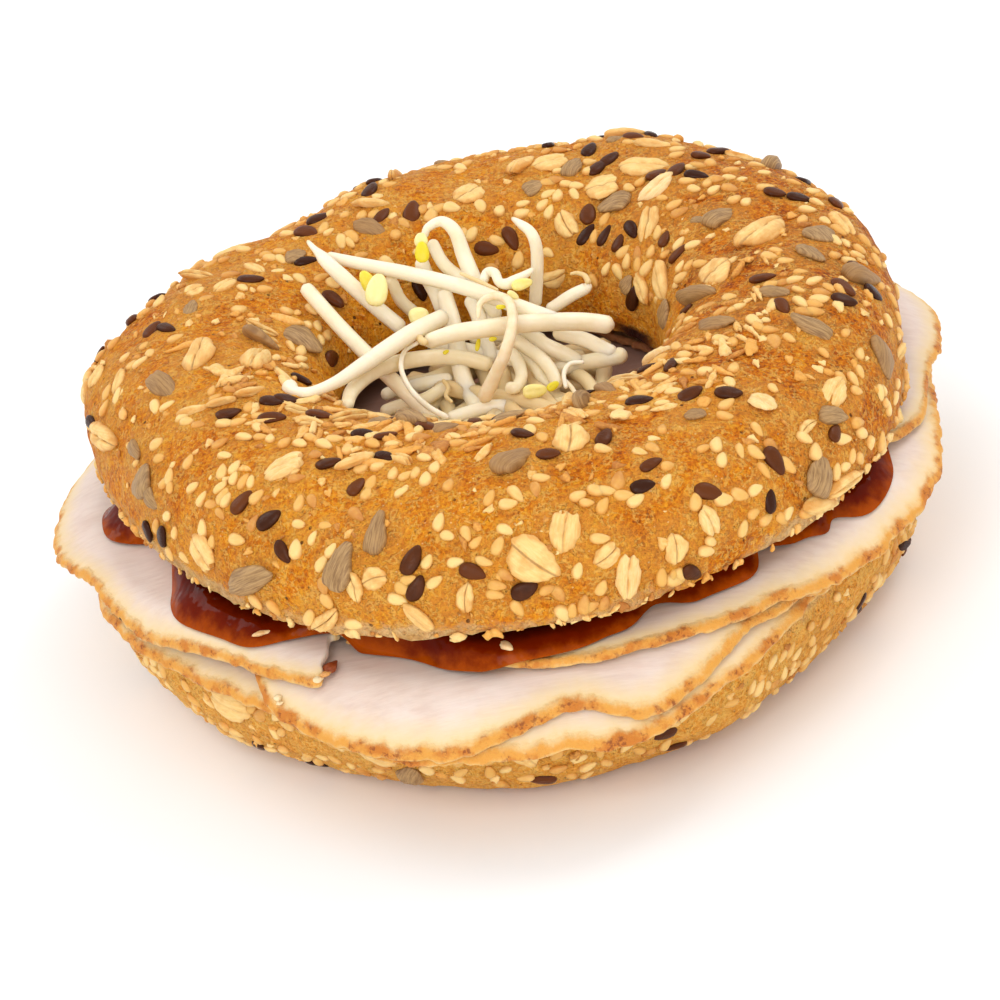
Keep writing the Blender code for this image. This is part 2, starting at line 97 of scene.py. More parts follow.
def spanGrid(rows, columns, span):
    # u along a closed form, without its two poles, and v once round it
    u = np.linspace(0, span, rows)[1:-1]
    v = np.linspace(0, 2 * math.pi, columns, endpoint=False)
    return np.meshgrid(u, v, indexing="ij")


# Meshes

def setDown(points):  # millimetres about the axis to metres in the frame
    return (np.asarray(points, float) + assemblyShift) * mm


def gridFaces(rows, columns, closedRows, closedColumns):
    # one square for each place of a grid, wrapped round where it is closed
    r = np.arange(rows if closedRows else rows - 1)
    c = np.arange(columns if closedColumns else columns - 1)
    r, c = np.meshgrid(r, c, indexing="ij")
    rNext, cNext = (r + 1) % rows, (c + 1) % columns
    corners = [r * columns + c, rNext * columns + c, rNext * columns + cNext, r * columns + cNext]
    return np.stack(corners, -1).reshape(-1, 4)


def poleFaces(rings, columns):
    # a closed form whose first and last points are poles: the squares between its rings, and
    # the triangles round each pole
    c = np.arange(columns)
    cNext = (c + 1) % columns
    last = 1 + (rings - 1) * columns
    first = np.stack([0 * c, 1 + c, 1 + cNext], -1)
    final = np.stack([0 * c + 1 + rings * columns, last + cNext, last + c], -1)
    return gridFaces(rings, columns, False, True) + 1, first, final


def copiedFaces(blocks, starts):  # the same faces again for every copy, numbered from its start
    starts = np.asarray(starts)[:, None, None]
    return [face for block in blocks
            for face in (block[None] + starts).reshape(-1, block.shape[1]).tolist()]


def withPoles(values, first, last):  # a grid's values between those of its two poles
    return np.concatenate([[first], np.ravel(values), [last]])


def meshPiece(name, points, faces, paint, marks, sharp=None):
    # vertices and faces into a mesh, turned the right way out by the sign of its volume, with
    # edges sharper than so many degrees left sharp
    made = bpy.data.meshes.new(name)
    made.from_pydata(setDown(points).reshape(-1, 3), [], [tuple(face) for face in faces])
    for mark, values in marks.items():
        layer = made.attributes.new(mark, "FLOAT", "POINT")
        layer.data.foreach_set("value", np.asarray(values, np.float32).ravel())
    if meshVolume(made) < 0:
        made.flip_normals()
    made.shade_smooth()
    if sharp:
        made.set_sharp_from_angle(angle=math.radians(sharp))
    made.materials.append(paint)
    piece = bpy.data.objects.new(name, made)
    bpy.context.scene.collection.objects.link(piece)
    return piece


def meshVolume(made):
    made.calc_loop_triangles()
    triangles = np.empty(len(made.loop_triangles) * 3, int)
    made.loop_triangles.foreach_get("vertices", triangles)
    places = np.empty(len(made.vertices) * 3)
    made.vertices.foreach_get("co", places)
    a, b, c = places.reshape(-1, 3)[triangles.reshape(-1, 3)].transpose(1, 0, 2)
    return np.einsum("ij,ij->i", a, np.cross(b, c)).sum()


def outward(points):  # normals of a grid that is closed both ways, from its neighbours
    along = np.roll(points, -1, 0) - np.roll(points, 1, 0)
    over = np.roll(points, -1, 1) - np.roll(points, 1, 1)
    return unit(np.cross(along, over))


def finishPiece(piece, slotName, *nodes):
    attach(piece, "root")
    if nodes:
        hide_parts(*nodes)
    return piece


# Camera: fitted to the outlines of the two halves

view = {
    "target": (0.0, 0.0, 30.0),   # mm about the axis
    "targetPixel": (499.8, 415.4),
    "distance": 700.0,
    "elevation": 28.6,
    "roll": 10.0,
    "focal": 4830.0,              # pixels
    "frame": 1000.0,
}


def viewAxes():
    # where the camera is, and the directions ahead, right and up in the picture
    e, roll = math.radians(view["elevation"]), math.radians(view["roll"])
    ahead = np.array([0, math.cos(e), -math.sin(e)])
    level = np.array([1.0, 0, 0])
    rise = np.array([0, math.sin(e), math.cos(e)])
    up = level * math.sin(roll) + rise * math.cos(roll)
    right = level * math.cos(roll) - rise * math.sin(roll)
    eye = np.array(view["target"]) - view["distance"] * ahead
    offX = view["targetPixel"][0] - view["frame"] / 2
    offY = view["frame"] / 2 - view["targetPixel"][1]
    ahead = unit(ahead - (offX * right + offY * up) / view["focal"])
    right = unit(right - ahead * (right @ ahead))
    return eye, ahead, right, np.cross(right, ahead)


eye, ahead, right, up = viewAxes()


def toPixels(points):
    off = points - eye
    depth = off @ ahead
    x = view["frame"] / 2 + view["focal"] * (off @ right) / depth
    y = view["frame"] / 2 - view["focal"] * (off @ up) / depth
    return x, y, depth


def atHeight(px, py, height):  # the place at a height that shows at a pixel
    half = view["frame"] / 2
    ray = ahead + ((px - half) * right + (half - py) * up) / view["focal"]
    return eye + ray * (height - eye[2]) / ray[2]


def facingCamera(here, out):  # 1 where a surface faces the camera, less than 0 where it turns away
    return np.einsum("ij,ij->i", out, unit(eye - here))


def addCamera():
    data = bpy.data.cameras.new("camera")
    data.sensor_width = 36.0
    data.lens = data.sensor_width * view["focal"] / view["frame"]
    data.clip_start, data.clip_end = 0.01, 50.0
    camera = bpy.data.objects.new("camera", data)
    bpy.context.scene.collection.objects.link(camera)
    turn = Matrix([list(right), list(up), list(-ahead)]).transposed()
    camera.matrix_world = Matrix.Translation(Vector(setDown(eye))) @ turn.to_4x4()
    bpy.context.scene.camera = camera


addCamera()
print("camera set")


# Shader maths

def tint(red, green, blue):  # a colour as a screen shows it, 0 to 255
    values = np.array([red, green, blue]) / 255.0
    linear = np.where(values <= 0.04045, values / 12.92, ((values + 0.055) / 1.055) ** 2.4)
    return (*[float(v) for v in linear], 1.0)


class Wire:
    # a socket that takes part in Python sums: each operator adds one Math node
    def __init__(self, paint, socket):
        self.paint, self.socket = paint, socket

    def reckon(self, operation, *values):
        inputs = dict(enumerate(values))
        return self.paint.node("ShaderNodeMath", {"operation": operation}, inputs)

    def __add__(self, other):
        return self.reckon("ADD", self, other)

    def __sub__(self, other):
        return self.reckon("SUBTRACT", self, other)

    def __rsub__(self, other):
        return self.reckon("SUBTRACT", other, self)

    def __mul__(self, other):
        return self.reckon("MULTIPLY", self, other)

    __radd__, __rmul__ = __add__, __mul__

    def least(self, other):
        return self.reckon("MINIMUM", self, other)

    def step(self, low, high):  # 0 at low, 1 at high, an S curve between
        settings = {"interpolation_type": "SMOOTHSTEP"}
        inputs = {"Value": self, "From Min": low, "From Max": high}
        return self.paint.node("ShaderNodeMapRange", settings, inputs)


class Paint:
    # one material: node() adds any node, with its settings first and then its sockets
    def __init__(self, name, **fixed):
        self.material = bpy.data.materials.new(name)
        self.material.use_nodes = True
        self.tree = self.material.node_tree
        self.shader = self.tree.nodes["Principled BSDF"]
        for socket, value in fixed.items():
            self.shader.inputs[socketNames[socket]].default_value = value
        self.place = self.node("ShaderNodeTexCoord", output="Object")

    def node(self, kind, settings=None, inputs=None, output=0):
        made = self.tree.nodes.new(kind)
        for key, value in (settings or {}).items():
            setattr(made, key, value)
        for key, value in (inputs or {}).items():
            self.feed(made.inputs[key], value)
        return Wire(self, made.outputs[output])

    def feed(self, socket, value):
        if isinstance(value, Wire):
            self.tree.links.new(value.socket, socket)
        else:
            socket.default_value = value

    def mark(self, name):  # a vertex attribute of the piece
        return self.node("ShaderNodeAttribute", {"attribute_name": name}, output="Fac")

    def noise(self, size, detail=3.0, rough=0.55, place=None):
        inputs = {"Vector": place or self.place, "Scale": 1 / (size * mm), "Detail": detail,
                  "Roughness": rough}
        return self.node("ShaderNodeTexNoise", None, inputs)

    def cells(self, size, place=None):  # the distance to the nearest of scattered points
        inputs = {"Vector": place or self.place, "Scale": 1 / (size * mm)}
        return self.node("ShaderNodeTexVoronoi", None, inputs, output="Distance")

    def stretched(self, scale, turn=(0, 0, 0)):
        return self.node("ShaderNodeMapping", None,
                         {"Vector": self.place, "Scale": scale, "Rotation": turn})

    def blend(self, share, first, second):
        return self.node("ShaderNodeMix", {"data_type": "RGBA"}, {0: share, 6: first, 7: second},
                         output=2)

    def bump(self, height, depth, below=None):
        inputs = {"Height": height, "Distance": depth * mm}
        if below:
            inputs["Normal"] = below
        return self.node("ShaderNodeBump", None, inputs)

    def finish(self, **wires):
        for socket, value in wires.items():
            self.feed(self.shader.inputs[socketNames[socket]], value)
        return self.material


socketNames = {
    "colour": "Base Color", "roughness": "Roughness", "normal": "Normal",
    "gloss": "Specular IOR Level", "soft": "Subsurface Weight", "softReach": "Subsurface Radius",
    "softScale": "Subsurface Scale",
}


# Bagel: two rings of crust, each a closed grid of bearings and turns round the section

bagel = {
    "outerRadius": 61.0, "holeRadius": 24.0,
    "lowerHeight": 20.0, "upperBase": 31.0, "upperHeight": 17.7,
    "upperShift": (1.4, 0.7),
    "edgeTuck": 12.0, "fullness": 2.15, "lowerFullness": 0.83, "footFlat": 0.7,
    "shoulderTuck": 3.6, "shoulderDepth": 7.0,
    "upperWaves": [(2, -1.3, 0.2), (3, -1.1, 1.8), (4, -0.6, -1.0)],
    "lowerWaves": [(2, -0.3, 0.4), (3, -0.1, 1.0), (4, 1.2, 0.3)],
    # where the upper half is pressed in: bearing, half width, how far in and how far down
    "upperDents": [(135.0, 20.0, 4.6, 1.8), (68.0, 28.0, 0.0, 1.2)],
    # where a painted shadow darkens the upper half's inner cut edge:
    "paintedGapShade": [(162.0, 17.0, 35.5), (33.0, 11.0, 33.4)],   # bearing, half width, height
    "bearings": 700, "crustRows": 131, "cutRows": 10, "rowCrowding": 1.12, "sharp": 40,
    "creases": [(9.0, 0.26), (3.8, 0.20), (1.8, 0.15), (1.1, 0.10)],   # size and depth of dents
    # how far the dough rises round a seed, and over how many of its half lengths that fades
    "swelling": 0.16, "swellEnd": 1.7, "swellFade": 0.8,
    "cutFade": 0.05, "lipReach": 0.42,                    # in radians round the section
}
upperShift = np.array([*bagel["upperShift"], 0.0])
noShift = np.zeros(3)


def crustLumps(bearing, turn):
    return (0.35 * np.sin(5 * bearing + 2 * turn) + 0.3 * np.sin(9 * bearing - 3 * turn + 1.0)
            + 0.2 * np.sin(14 * bearing + 4 * turn + 2.0))


def upperDents(bearing):
    inward, down = 0.0 * bearing, 0.0 * bearing
    for middle, halfWidth, deep, low in bagel["upperDents"]:
        share = np.exp(-(turnFrom(bearing, middle) / math.radians(halfWidth)) ** 2)
        inward, down = inward + deep * share, down + low * share
    return inward, down


def upperSection(bearing, turn):
    # a superellipse over the crown from the outer cut edge to the inner one, then back
    crown = 1.5 * math.pi
    tuck = math.radians(bagel["edgeTuck"])
    angle = -tuck + np.clip(turn / crown, 0.0, 1.0) * (math.pi + 2 * tuck)
    inward, down = upperDents(bearing)
    outer = bagel["outerRadius"] + waves(bearing, bagel["upperWaves"]) - inward
    middle, half = (outer + bagel["holeRadius"]) / 2, (outer - bagel["holeRadius"]) / 2
    exponent = 2 / bagel["fullness"]
    low = -math.sin(tuck) ** exponent
    lift = np.clip((power(np.sin(angle), exponent) - low) / (1 - low), 0.0, 1.0)
    lumps = crustLumps(bearing, angle) * np.clip(lift * 4, 0, 1)
    radius = middle + half * power(np.cos(angle), exponent)
    back = np.clip((turn - crown) / (0.5 * math.pi), 0.0, 1.0)
    reach = half * abs(math.cos(tuck)) ** exponent
    radius = np.where(turn > crown, middle - reach + 2 * reach * back, radius)
    height = bagel["upperBase"] + (bagel["upperHeight"] - down) * lift + lumps
    height = np.where(turn > crown, bagel["upperBase"], height)
    return radius + 0.6 * lumps, height


def lowerRadius(bearing):
    return bagel["outerRadius"] + waves(bearing, bagel["lowerWaves"])


def lowerSection(bearing, turn):
    # down the outer side and under the foot to the hole, then back along the cut
    side = 1.5 * math.pi
    angle = np.clip(turn / side, 0.0, 1.0) * math.pi
    outer = lowerRadius(bearing)
    top, full = bagel["lowerHeight"], bagel["lowerFullness"]
    middle, half = (outer + bagel["holeRadius"]) / 2, (outer - bagel["holeRadius"]) / 2
    depth = top + bagel["footFlat"]
    height = depth * (1 - np.abs(np.sin(angle)) ** full) - bagel["footFlat"]
    radius = middle + half * power(np.cos(angle), full)
    shoulder = np.clip((height - top + bagel["shoulderDepth"]) / bagel["shoulderDepth"], 0, 1)
    lumps = crustLumps(bearing, angle) * np.clip(height / 4, 0, 1)
    lumps = lumps * np.clip((top - height) / 4, 0, 1)
    outside = lumps - bagel["shoulderTuck"] * shoulder ** 2
    radius = radius + np.where(angle < math.pi / 2, outside, 0.0)
    back = np.clip((turn - side) / (0.5 * math.pi), 0.0, 1.0)
    cutOuter = outer - bagel["shoulderTuck"]
    inner = bagel["holeRadius"]
    radius = np.where(turn > side, inner + (cutOuter - inner) * back, radius)
    height = np.where(turn > side, top, height)
    return radius, np.maximum(height, 0.0)


def ringPlace(section, shift, bearing, turn):
    radius, height = section(bearing, turn)
    return np.stack([radius * np.cos(bearing), radius * np.sin(bearing), height], -1) + shift


def ringFrames(section, shift, bearing, turn):
    # places on a ring, and the directions along it, over it and out of it
    step = 1e-3
    here = ringPlace(section, shift, bearing, turn)
    along = unit(ringPlace(section, shift, bearing + step, turn) - here)
    over = ringPlace(section, shift, bearing, turn + step) - here
    out = unit(np.cross(along, over))
    return here, along, np.cross(out, along), out


def crustPaint(name, pale, golden, brown):
    paint = Paint(name, soft=0.08, softReach=(1.0, 0.45, 0.2), softScale=0.0010, gloss=0.16)
    cut = paint.mark("cut")
    # this mark carries real browning, and on the upper half also a painted shade on the right and a
    # painted light down in the hole
    bakeAndShade = paint.mark("bakeAndShade")
    beside = paint.mark("besideSeed")
    lip = paint.mark("lip")
    mottle = paint.noise(2.4, 5.0, 0.62)
    grain = paint.noise(0.60, 4.0, 0.66)
    patches = paint.noise(9.0, 4.0, 0.6)
    curl = paint.noise(0.95, 2.0, 0.5) - 0.5
    curls = (curl * curl).step(0.008, 0.001) * paint.noise(1.7, 2.0).step(0.44, 0.58)
    pits = paint.cells(3.3).step(0.095, 0.05) * paint.noise(5.0, 2.0).step(0.42, 0.52)
    specks = paint.cells(1.5, place=paint.stretched((1.0, 1.0, 1.3))).step(0.13, 0.06)
    bran = paint.cells(1.3, place=paint.stretched((1.2, 0.9, 1.0))).step(0.15, 0.07)
    # the fine grain's share of the tone is partly real speckle and partly a painted shade standing for
    # the crust's fine relief
    tone = (mottle - 0.5) * 1.2 + (grain - 0.5) * 3.0 + (patches - 0.5) * 1.3 + bakeAndShade
    colour = paint.blend(tone.step(-0.10, 0.80), pale, golden)
    colour = paint.blend(tone.step(0.62, 1.45), colour, brown)
    colour = paint.blend(beside * 0.40, colour, tint(224, 162, 72))
    colour = paint.blend(curls * 0.45, colour, tint(248, 196, 98))
    # pale specks: partly flour-like flecks, partly painted highlights on the crust's grains
    colour = paint.blend(specks * 0.45, colour, tint(252, 222, 160))
    colour = paint.blend(bran * 0.50, colour, tint(136, 66, 12))
    # painted shade inside the crust's small pits
    colour = paint.blend(pits * 0.85, colour, tint(84, 38, 10))
    pores = paint.cells(1.1).step(0.42, 0.12)
    crumb = paint.blend(paint.noise(1.6, 4.0).step(0.3, 0.7), tint(232, 200, 146),
                        tint(208, 164, 104))
    # painted shade inside the crumb's pores
    crumb = paint.blend(pores * 0.6, crumb, tint(170, 122, 70))
    torn = (lip * 1.5 + (mottle - 0.5) * 1.6 - 0.2).step(0.1, 0.8)
    colour = paint.blend(torn * 0.75, colour, crumb)
    colour = paint.blend(cut, colour, crumb)
    # painted shadow near the upper half's inner cut edge, from the gap mark
    colour = paint.blend(paint.mark("gap"), colour, tint(58, 16, 2))
    coarse = paint.bump(mottle, 0.9)
    holes = cut * pores * 1.5 + pits
    normal = paint.bump(grain + curls * 0.25 - holes, 0.60, below=coarse)
    return paint.finish(colour=colour, normal=normal, roughness=0.70 - grain * 0.20 + cut * 0.2)


def nearestSeed(points, spots, reach):
    # how near each point is to a seed, in that seed's half lengths, worked out in blocks
    points, spots, reach = (a.astype(np.float32) for a in (points, spots, reach))
    square = (spots ** 2).sum(1)
    near = [np.min((np.maximum((block ** 2).sum(1)[:, None] - 2 * block @ spots.T + square, 0))
                   / reach ** 2, axis=1) for block in np.array_split(points, 40)]
    return np.sqrt(np.concatenate(near))


def paintedGapShade(points, bearing, turn):  # painted shadow: how far the crust just above the upper half's inner cut edge is darkened, standing for the shaded gap under it
    dark = 0.0 * bearing
    for middle, halfWidth, top in bagel["paintedGapShade"]:
        near = np.exp(-(turnFrom(bearing, middle) / math.radians(halfWidth)) ** 4)
        dark = np.maximum(dark, near * smooth((top - points[..., 2]) / 0.9))
    return dark * (turn > 0.9 * math.pi) * (points[..., 2] > bagel["upperBase"] - 1)


def fromEdge(turn):  # how far round the section from the cut's outer edge, in radians
    return np.minimum(turn, 2 * math.pi - turn)


def breadRing(name, section, shift, paint, scatter, bakeAndShadeRule, edgeRule):
    # the section carried round the ring, dented at random and raised round each seed
    bearing = np.linspace(0, 2 * math.pi, bagel["bearings"], endpoint=False)
    crust = np.linspace(0, 1, bagel["crustRows"]) ** bagel["rowCrowding"] * 1.5 * math.pi
    back = np.linspace(1.5, 2, bagel["cutRows"] + 1, endpoint=False)[1:] * math.pi
    bearing, turn = np.meshgrid(bearing, np.concatenate([crust, back]), indexing="ij")
    points = ringPlace(section, shift, bearing, turn)
    normals = outward(points)
    cut = smooth((turn - 1.5 * math.pi) / bagel["cutFade"]) \
        * smooth((2 * math.pi - turn) / bagel["cutFade"])
    dents = sum(depth * cloud(points, size, 11 + i)
                for i, (size, depth) in enumerate(bagel["creases"]))
    near = nearestSeed(points.reshape(-1, 3), scatter.taken, scatter.reach).reshape(cut.shape)
    beside = smooth((bagel["swellEnd"] - near) / bagel["swellFade"]) * (1 - cut)
    flat = np.clip(points[..., 2] / 1.5, 0, 1)
    lift = (dents * (1 - 0.6 * cut) + bagel["swelling"] * beside) * flat
    points = points + normals * lift[..., None]
    points = edgeRule(points, bearing, turn)
    points[..., 2] = np.maximum(points[..., 2], 0.0)
    faces = gridFaces(*bearing.shape, True, True)
    lip = smooth(1 - fromEdge(turn) / bagel["lipReach"])
    lip = lip * np.clip(0.5 + 0.9 * ringCloud(bearing, 26, 17), 0, 1)
    # the baking mark holds painted shade and light on the upper half
    marks = {"cut": cut, "bakeAndShade": bakeAndShadeRule(points, bearing, turn), "besideSeed": beside,
             # the gap mark is a painted shadow
             "lip": lip, "gap": paintedGapShade(points, bearing, turn)}
    return meshPiece(name, points, faces.tolist(), paint, marks, bagel["sharp"])


def upperBakeAndShade(points, bearing, turn):
    # darker on the right, a painted shade; paler down in the hole, a painted light where the hole lies
    # in shade; paler by the cut edge
    edge = smooth((turn - 0.02 * math.pi) / (0.10 * math.pi))
    # painted light: paler down in the hole
    hole = smooth((turn - 0.95 * math.pi) / (0.35 * math.pi))
    # painted shade: darker on the right
    side = 0.17 * np.cos(bearing - 0.2) + 0.20 * np.cos(bearing) ** 2
    return 0.50 + side - 0.46 * hole - 0.04 * (1 - edge)


def lowerBaked(points, bearing, turn):
    return 0.40 + 0.10 * np.sin(bearing + 2.6) - 0.2 * smooth((points[..., 2] - 13) / 6)


cutEdge = {
    "waveReach": 0.35, "rise": 0.25, "waves": [(0.28, 40, 3), (0.24, 110, 4)],   # size, count, seed
    "beadReach": 0.22, "beadDrop": 0.42, "beadOut": 0.40,
}


def wavyEdge(points, bearing, turn):
    # the cut was made by hand: its outer edge waves, and crumbs of crust bead along it
    lift = sum(size * ringCloud(bearing, count, seed) for size, count, seed in cutEdge["waves"])
    points[..., 2] += smooth(1 - fromEdge(turn) / cutEdge["waveReach"]) * (cutEdge["rise"] + lift)
    beads = smooth(1 - fromEdge(turn) / cutEdge["beadReach"])
    points[..., 2] -= cutEdge["beadDrop"] * beads * cloud(points, 1.7, 91)
    outwards = unit(points * np.array([1, 1, 0]))
    return points + outwards * (cutEdge["beadOut"] * beads * cloud(points, 1.5, 92))[..., None]


def plainEdge(points, bearing, turn):
    return points


# Seeds: the ones that stand out in the photograph are placed by their pixels, the others at random

seeds = {
    "sesame": {"size": (2.7, 1.62, 1.1), "grid": (8, 9), "sit": 0.18, "ragged": 0.02, "upper": 420,
               "lower": 330},
    "flax": {"size": (3.9, 2.15, 1.3), "grid": (12, 14), "sit": 0.20, "ragged": 0.01, "upper": 34,
             "lower": 16},
    "sunflower": {"size": (6.6, 3.9, 2.1), "grid": (16, 22), "sit": 0.12, "ragged": 0.04,
                  "upper": 14, "lower": 5},
    "oat": {"size": (7.2, 5.2, 1.7), "grid": (15, 40), "sit": 0.14, "ragged": 0.028, "upper": 30,
            "lower": 12},
    "crumb": {"size": (1.3, 0.85, 0.7), "grid": (6, 8), "sit": 0.15, "ragged": 0.16, "vary": 0.35,
              "upper": 420, "lower": 120, "edge": 230},
    "shard": {"size": (3.6, 1.1, 0.8), "grid": (8, 10), "sit": 0.30, "ragged": 0.14, "vary": 0.30,
              "upper": 170},
}

# Where each seed of the upper half shows in the photograph: x and y in pixels, the direction of its
# long side in degrees, its pointed end last, and for the larger kinds its length and width in pixels
oatPixels = [
    (199, 355, 75, 34, 29), (257, 361, 60, 30, 28), (105, 437, -35, 30, 26), (287, 467, 18, 48, 19),
    (204, 553, -60, 43, 22), (192, 413, 15, 34, 7), (222, 404, 18, 34, 8), (250, 394, 20, 34, 7),
    (313, 424, -5, 34, 9), (299, 411, -5, 30, 7), (351, 419, 10, 46, 13), (355, 463, 20, 45, 13),
    (401, 461, -30, 26, 9), (262, 329, -25, 36, 9), (199, 277, 10, 40, 8), (195, 291, 20, 22, 12),
    (255, 270, -30, 20, 12), (226, 287, 30, 28, 12), (372, 206, 5, 42, 9), (471, 194, 25, 34, 23),
    (522, 166, 50, 30, 18), (552, 164, 15, 38, 16), (568, 227, -63, 34, 22), (554, 278, 25, 28, 18),
    (396, 172, 45, 20, 10), (643, 168, 5, 50, 18), (604, 187, 15, 38, 22), (657, 188, 35, 42, 17),
    (649, 222, 75, 44, 19), (762, 233, 35, 54, 34), (716, 273, 40, 35, 28), (643, 289, -65, 32, 15),
    (662, 281, -80, 36, 22), (739, 158, -15, 36, 8), (655, 147, 0, 46, 8), (842, 226, -50, 34, 18),
    (834, 393, 60, 32, 26), (899, 352, 85, 22, 11), (762, 404, -35, 28, 18), (848, 489, 30, 42, 16),
    (819, 502, 10, 42, 11), (709, 522, -65, 34, 20), (569, 438, 85, 30, 36), (565, 529, 85, 49, 32),
    (534, 560, -35, 57, 44), (608, 554, 40, 34, 22), (630, 573, 80, 52, 25), (466, 598, 85, 31, 18),
    (421, 617, -40, 42, 12), (571, 405, 50, 38, 9), (620, 371, 18, 45, 8), (652, 353, 38, 30, 6),
    (603, 382, 20, 30, 6), (560, 400, 30, 22, 8), (355, 587, -75, 32, 16), (376, 579, 20, 26, 24),
    (325, 625, 40, 30, 18), (676, 548, 100, 31, 24), (120, 382, 70, 30, 10), (806, 428, 40, 22, 12),
    (97, 377, 62, 26, 9)]
sunflowerPixels = [
    (164, 388, -40, 32, 24), (144, 481, 80, 36, 15), (153, 500, -60, 22, 13),
    (253, 578, 20, 44, 28), (340, 567, 70, 52, 24), (377, 533, 75, 46, 20), (303, 341, -45, 42, 20),
    (260, 340, -25, 42, 12), (190, 310, 60, 20, 14), (296, 257, 10, 22, 12), (370, 229, -15, 33, 17),
    (573, 169, 60, 20, 18), (534, 188, 20, 22, 14), (443, 156, 10, 18, 8), (615, 204, 195, 35, 18),
    (722, 219, 35, 36, 18), (699, 222, -10, 14, 9), (700, 296, 10, 37, 16), (617, 141, 20, 18, 8),
    (772, 167, 10, 22, 16), (820, 236, -30, 26, 24), (811, 255, -35, 28, 16), (861, 278, -5, 33, 20),
    (811, 327, 160, 48, 16), (882, 360, -80, 38, 23), (717, 325, 5, 36, 12), (776, 294, -5, 30, 12),
    (666, 313, 75, 27, 16), (628, 284, 60, 16, 14), (832, 417, 0, 28, 19), (819, 476, 75, 40, 26),
    (607, 391, 0, 20, 14), (696, 416, -10, 18, 12), (585, 403, 55, 34, 11), (412, 422, -15, 37, 17),
    (445, 430, 10, 27, 12), (509, 419, 10, 32, 12), (381, 424, 0, 24, 11), (514, 461, 40, 42, 22),
    (137, 452, -60, 18, 12)]
flaxPixels = [
    (242, 503, 55), (271, 520, 35), (283, 552, -60), (328, 464, 0), (150, 531, -80), (164, 535, 80),
    (93, 423, -50), (153, 332, 48), (167, 330, -15), (129, 316, 85), (157, 298, 45), (251, 281, -3),
    (307, 233, -5), (320, 220, 25), (306, 262, 10), (333, 301, -50), (301, 381, -40), (228, 415, 25),
    (272, 403, 0), (287, 401, 0), (272, 420, 5), (319, 417, -5), (412, 214, 85), (382, 218, 45),
    (511, 239, -65), (487, 249, -5), (371, 191, 60), (375, 182, 30), (548, 138, 20), (550, 146, 5),
    (420, 290, -75), (590, 151, 55), (598, 169, 50), (610, 161, 40), (701, 157, 5), (718, 153, -5),
    (677, 171, 35), (696, 177, -5), (656, 176, 35), (589, 215, 80), (587, 236, 50), (605, 237, 60),
    (619, 244, 70), (632, 231, -65), (666, 240, 75), (679, 255, 45), (763, 280, 15), (774, 194, -15),
    (633, 139, -5), (782, 308, -55), (843, 289, -40), (844, 302, -15), (852, 266, 15), (872, 294, -30),
    (835, 205, -50), (804, 180, -20), (799, 199, -10), (691, 395, 20), (640, 403, 10), (729, 395, -5),
    (649, 370, 25), (636, 372, 35), (671, 366, 55), (623, 377, 25), (604, 438, 50), (651, 465, 25),
    (644, 486, 10), (773, 462, -55), (707, 493, -10), (770, 500, 85), (834, 433, 60), (549, 455, -5),
    (588, 386, 25), (688, 311, 35), (634, 303, 80), (650, 349, 40), (357, 487, 60), (411, 560, 60),
    (416, 588, 65), (474, 571, -20), (523, 590, 30), (364, 436, 0), (385, 437, 10), (386, 458, -10),
    (428, 429, -10), (475, 414, -10), (499, 414, 20), (478, 423, 20), (522, 435, 0), (690, 572, -30),
    (331, 359, 30)]
